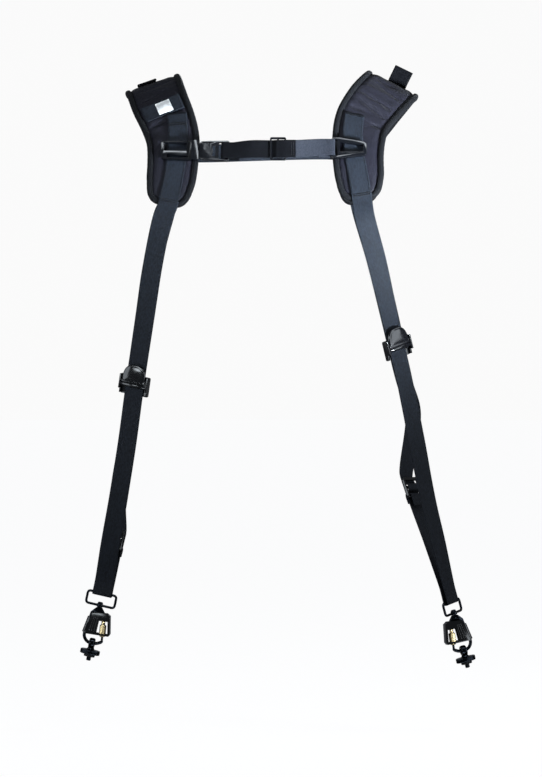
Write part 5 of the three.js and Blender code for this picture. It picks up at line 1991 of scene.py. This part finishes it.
def dress_node(name: str, finish: Finish, edge: float) -> None:
    """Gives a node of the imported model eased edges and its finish.

    Args:
        name: The node.
        finish: Its surface.
        edge: Size of the eased edges in millimetres.
    """
    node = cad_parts[name]
    node.data.polygons.foreach_set("use_smooth", [True] * len(node.data.polygons))
    weld = node.modifiers.new("weld", "WELD")
    weld.merge_threshold = 0.01 * MM
    ease = node.modifiers.new("eased_edges", "BEVEL")
    ease.width = edge * MM
    ease.segments = 3
    ease.limit_method = "ANGLE"
    ease.angle_limit = math.radians(32)
    ease.harden_normals = True
    node.material_slots[0].material = finish.material()
    LOG.info("%s: dressed as %s", name, finish.name)


@dataclass
class Studio:
    """Pale floor, white backdrop, soft lights, bright cards and the camera in front."""

    floor_height: float = -0.80
    camera_at: tuple[float, float, float] = (0.00625, -3.7, -0.3669)
    lens: float = 133.4
    light_aim: tuple[float, float, float] = (0.06, -0.05, 0.03)
    card_aim: tuple[float, float, float] = (0.0, 0.0, -0.4)
    lamp_colour: tuple[float, float, float] = (0.86, 0.94, 1.0)
    card_colour: tuple[float, float, float, float] = (0.86, 0.93, 1.0, 1.0)
    sky_colour: tuple[float, float, float, float] = (0.88, 0.92, 1.0, 1.0)
    sky_strength: float = 0.19

    def floor(self) -> None:
        """Makes the plain pale floor."""
        work = bmesh.new()
        bmesh.ops.create_circle(work, cap_ends=True, cap_tris=False, segments=96, radius=60)
        mesh = bpy.data.meshes.new("studio_floor")
        work.to_mesh(mesh)
        work.free()
        floor = bpy.data.objects.new("studio_floor", mesh)
        floor.location.z = self.floor_height
        bpy.context.scene.collection.objects.link(floor)
        paper = bpy.data.materials.new("paper_matt")
        paper.use_nodes = True
        shader = paper.node_tree.nodes["Principled BSDF"]
        shader.inputs["Base Color"].default_value = linear("#9a9a9a")
        shader.inputs["Roughness"].default_value = 0.95
        shader.inputs["Emission Color"].default_value = (1.0, 1.0, 1.0, 1.0)
        shader.inputs["Emission Strength"].default_value = 0.9
        mesh.materials.append(paper)
        floor.visible_diffuse = False
        floor.visible_glossy = False

    def backdrop(self) -> None:
        """Makes the white backdrop dome, which only the camera sees."""
        work = bmesh.new()
        bmesh.ops.create_icosphere(work, subdivisions=4, radius=36)
        mesh = bpy.data.meshes.new("studio_backdrop")
        work.to_mesh(mesh)
        work.free()
        dome = bpy.data.objects.new("studio_backdrop", mesh)
        bpy.context.scene.collection.objects.link(dome)
        glow = bpy.data.materials.new("backdrop_cloth_lit")
        glow.use_nodes = True
        tree = glow.node_tree
        tree.nodes.clear()
        lamp = add_node(tree, "Emission", {"Color": (1.0, 1.0, 1.0, 1.0), "Strength": 0.96})
        add_node(tree, "OutputMaterial", links={"Surface": lamp.outputs["Emission"]})
        mesh.materials.append(glow)
        dome.visible_diffuse = False
        dome.visible_glossy = False
        dome.visible_transmission = False
        dome.visible_shadow = False

    def reflector(
        self, name: str, place: tuple[float, float, float], wide: float, high: float, glow: float
    ) -> None:
        """Adds a bright card that only shows as a reflection in glossy pieces.

        Args:
            name: Name of the card.
            place: Its middle in metres.
            wide: Its width in metres.
            high: Its height in metres.
            glow: Strength of its light.
        """
        mesh = bpy.data.meshes.new(name)
        corners = [
            (x * wide / 2, y * high / 2, 0) for x, y in ((-1, -1), (1, -1), (1, 1), (-1, 1))
        ]
        mesh.from_pydata(corners, [], [(0, 1, 2, 3)])
        card = bpy.data.objects.new(name, mesh)
        card.location = place
        facing = Vector(self.card_aim) - Vector(place)
        card.rotation_euler = facing.to_track_quat("-Z", "Y").to_euler()
        bpy.context.scene.collection.objects.link(card)
        paint = bpy.data.materials.new("card_white_lit")
        paint.use_nodes = True
        tree = paint.node_tree
        tree.nodes.clear()
        lamp = add_node(tree, "Emission", {"Color": self.card_colour, "Strength": glow})
        add_node(tree, "OutputMaterial", links={"Surface": lamp.outputs["Emission"]})
        mesh.materials.append(paint)
        card.visible_camera = False
        card.visible_diffuse = False
        card.visible_shadow = False

    def light(
        self, name: str, place: tuple[float, float, float], size: float, power: float, spread: float = 180
    ) -> None:
        """Adds a soft light aimed at the pads.

        Args:
            name: Name of the light.
            place: Its place in metres.
            size: Side of its square face in metres.
            power: Watts.
            spread: Width of its beam in degrees.
        """
        lamp = bpy.data.lights.new(name, "AREA")
        lamp.shape = "SQUARE"
        lamp.size = size
        lamp.energy = power
        lamp.color = self.lamp_colour
        lamp.spread = math.radians(spread)
        holder = bpy.data.objects.new(name, lamp)
        holder.location = place
        facing = Vector(self.light_aim) - Vector(place)
        holder.rotation_euler = facing.to_track_quat("-Z", "Y").to_euler()
        holder.visible_camera = False
        bpy.context.scene.collection.objects.link(holder)

    def build(self) -> None:
        """Makes the floor, the backdrop, the lights, the cards, the world and the camera."""
        self.floor()
        self.backdrop()
        self.light("key_light", (0.9, -0.95, -0.62), 0.25, 4.0, 29)
        self.light("fill_light", (-0.9, -1.4, -0.1), 0.5, 1.7, 60)
        self.light("rim_light", (0.9, -0.1, 0.7), 0.4, 2)
        self.reflector("right_card", (1.5, -0.9, -0.3), 0.8, 1.6, 5)
        self.reflector("left_card", (-1.5, -0.7, -0.3), 0.7, 1.6, 4)
        self.reflector("upper_card", (0.1, -1.0, 1.3), 1.4, 0.3, 11)
        self.reflector("lower_card", (0.2, -1.1, -1.5), 1.4, 0.3, 13)
        world = bpy.data.worlds.new("studio_world")
        world.use_nodes = True
        sky = world.node_tree.nodes["Background"]
        sky.inputs["Color"].default_value = self.sky_colour
        sky.inputs["Strength"].default_value = self.sky_strength
        scene = bpy.context.scene
        scene.world = world
        scene.view_settings.view_transform = "Standard"
        data = bpy.data.cameras.new("front_camera")
        data.lens = self.lens
        data.sensor_width = 36
        data.clip_end = 200
        camera = bpy.data.objects.new("front_camera", data)
        camera.location = self.camera_at
        camera.rotation_euler = (math.pi / 2, 0, 0)
        scene.collection.objects.link(camera)
        scene.camera = camera


def main() -> None:
    """Builds the harness piece by piece."""
    Studio().build()
    arches = {side: Arch(side) for side in Side}
    for side, arch in arches.items():
        ShoulderPad(side, arch).build()
        sling = Sling(side, arch)
        sling.build()
        dress_node(f"{side.word}_ladder_lock", MOULDED_ACETAL, 0.5)
        CamLock(sling).build()
        SwivelHook(sling).build()
    BlankLabel(arches[Side.LEFT]).build()
    ChestStrap(arches[Side.LEFT], arches[Side.RIGHT]).build()
    for name, edge in (
        ("buckle_female", 0.5), ("buckle_male", 0.4), ("chest_slider", 0.5), ("triglide", 0.35),
    ):
        dress_node(name, MOULDED_ACETAL, edge)
    RearStrap(arches[Side.LEFT], arches[Side.RIGHT]).build()


if __name__ == "__main__":
    logging.basicConfig(level=logging.INFO, format="%(message)s")
    main()
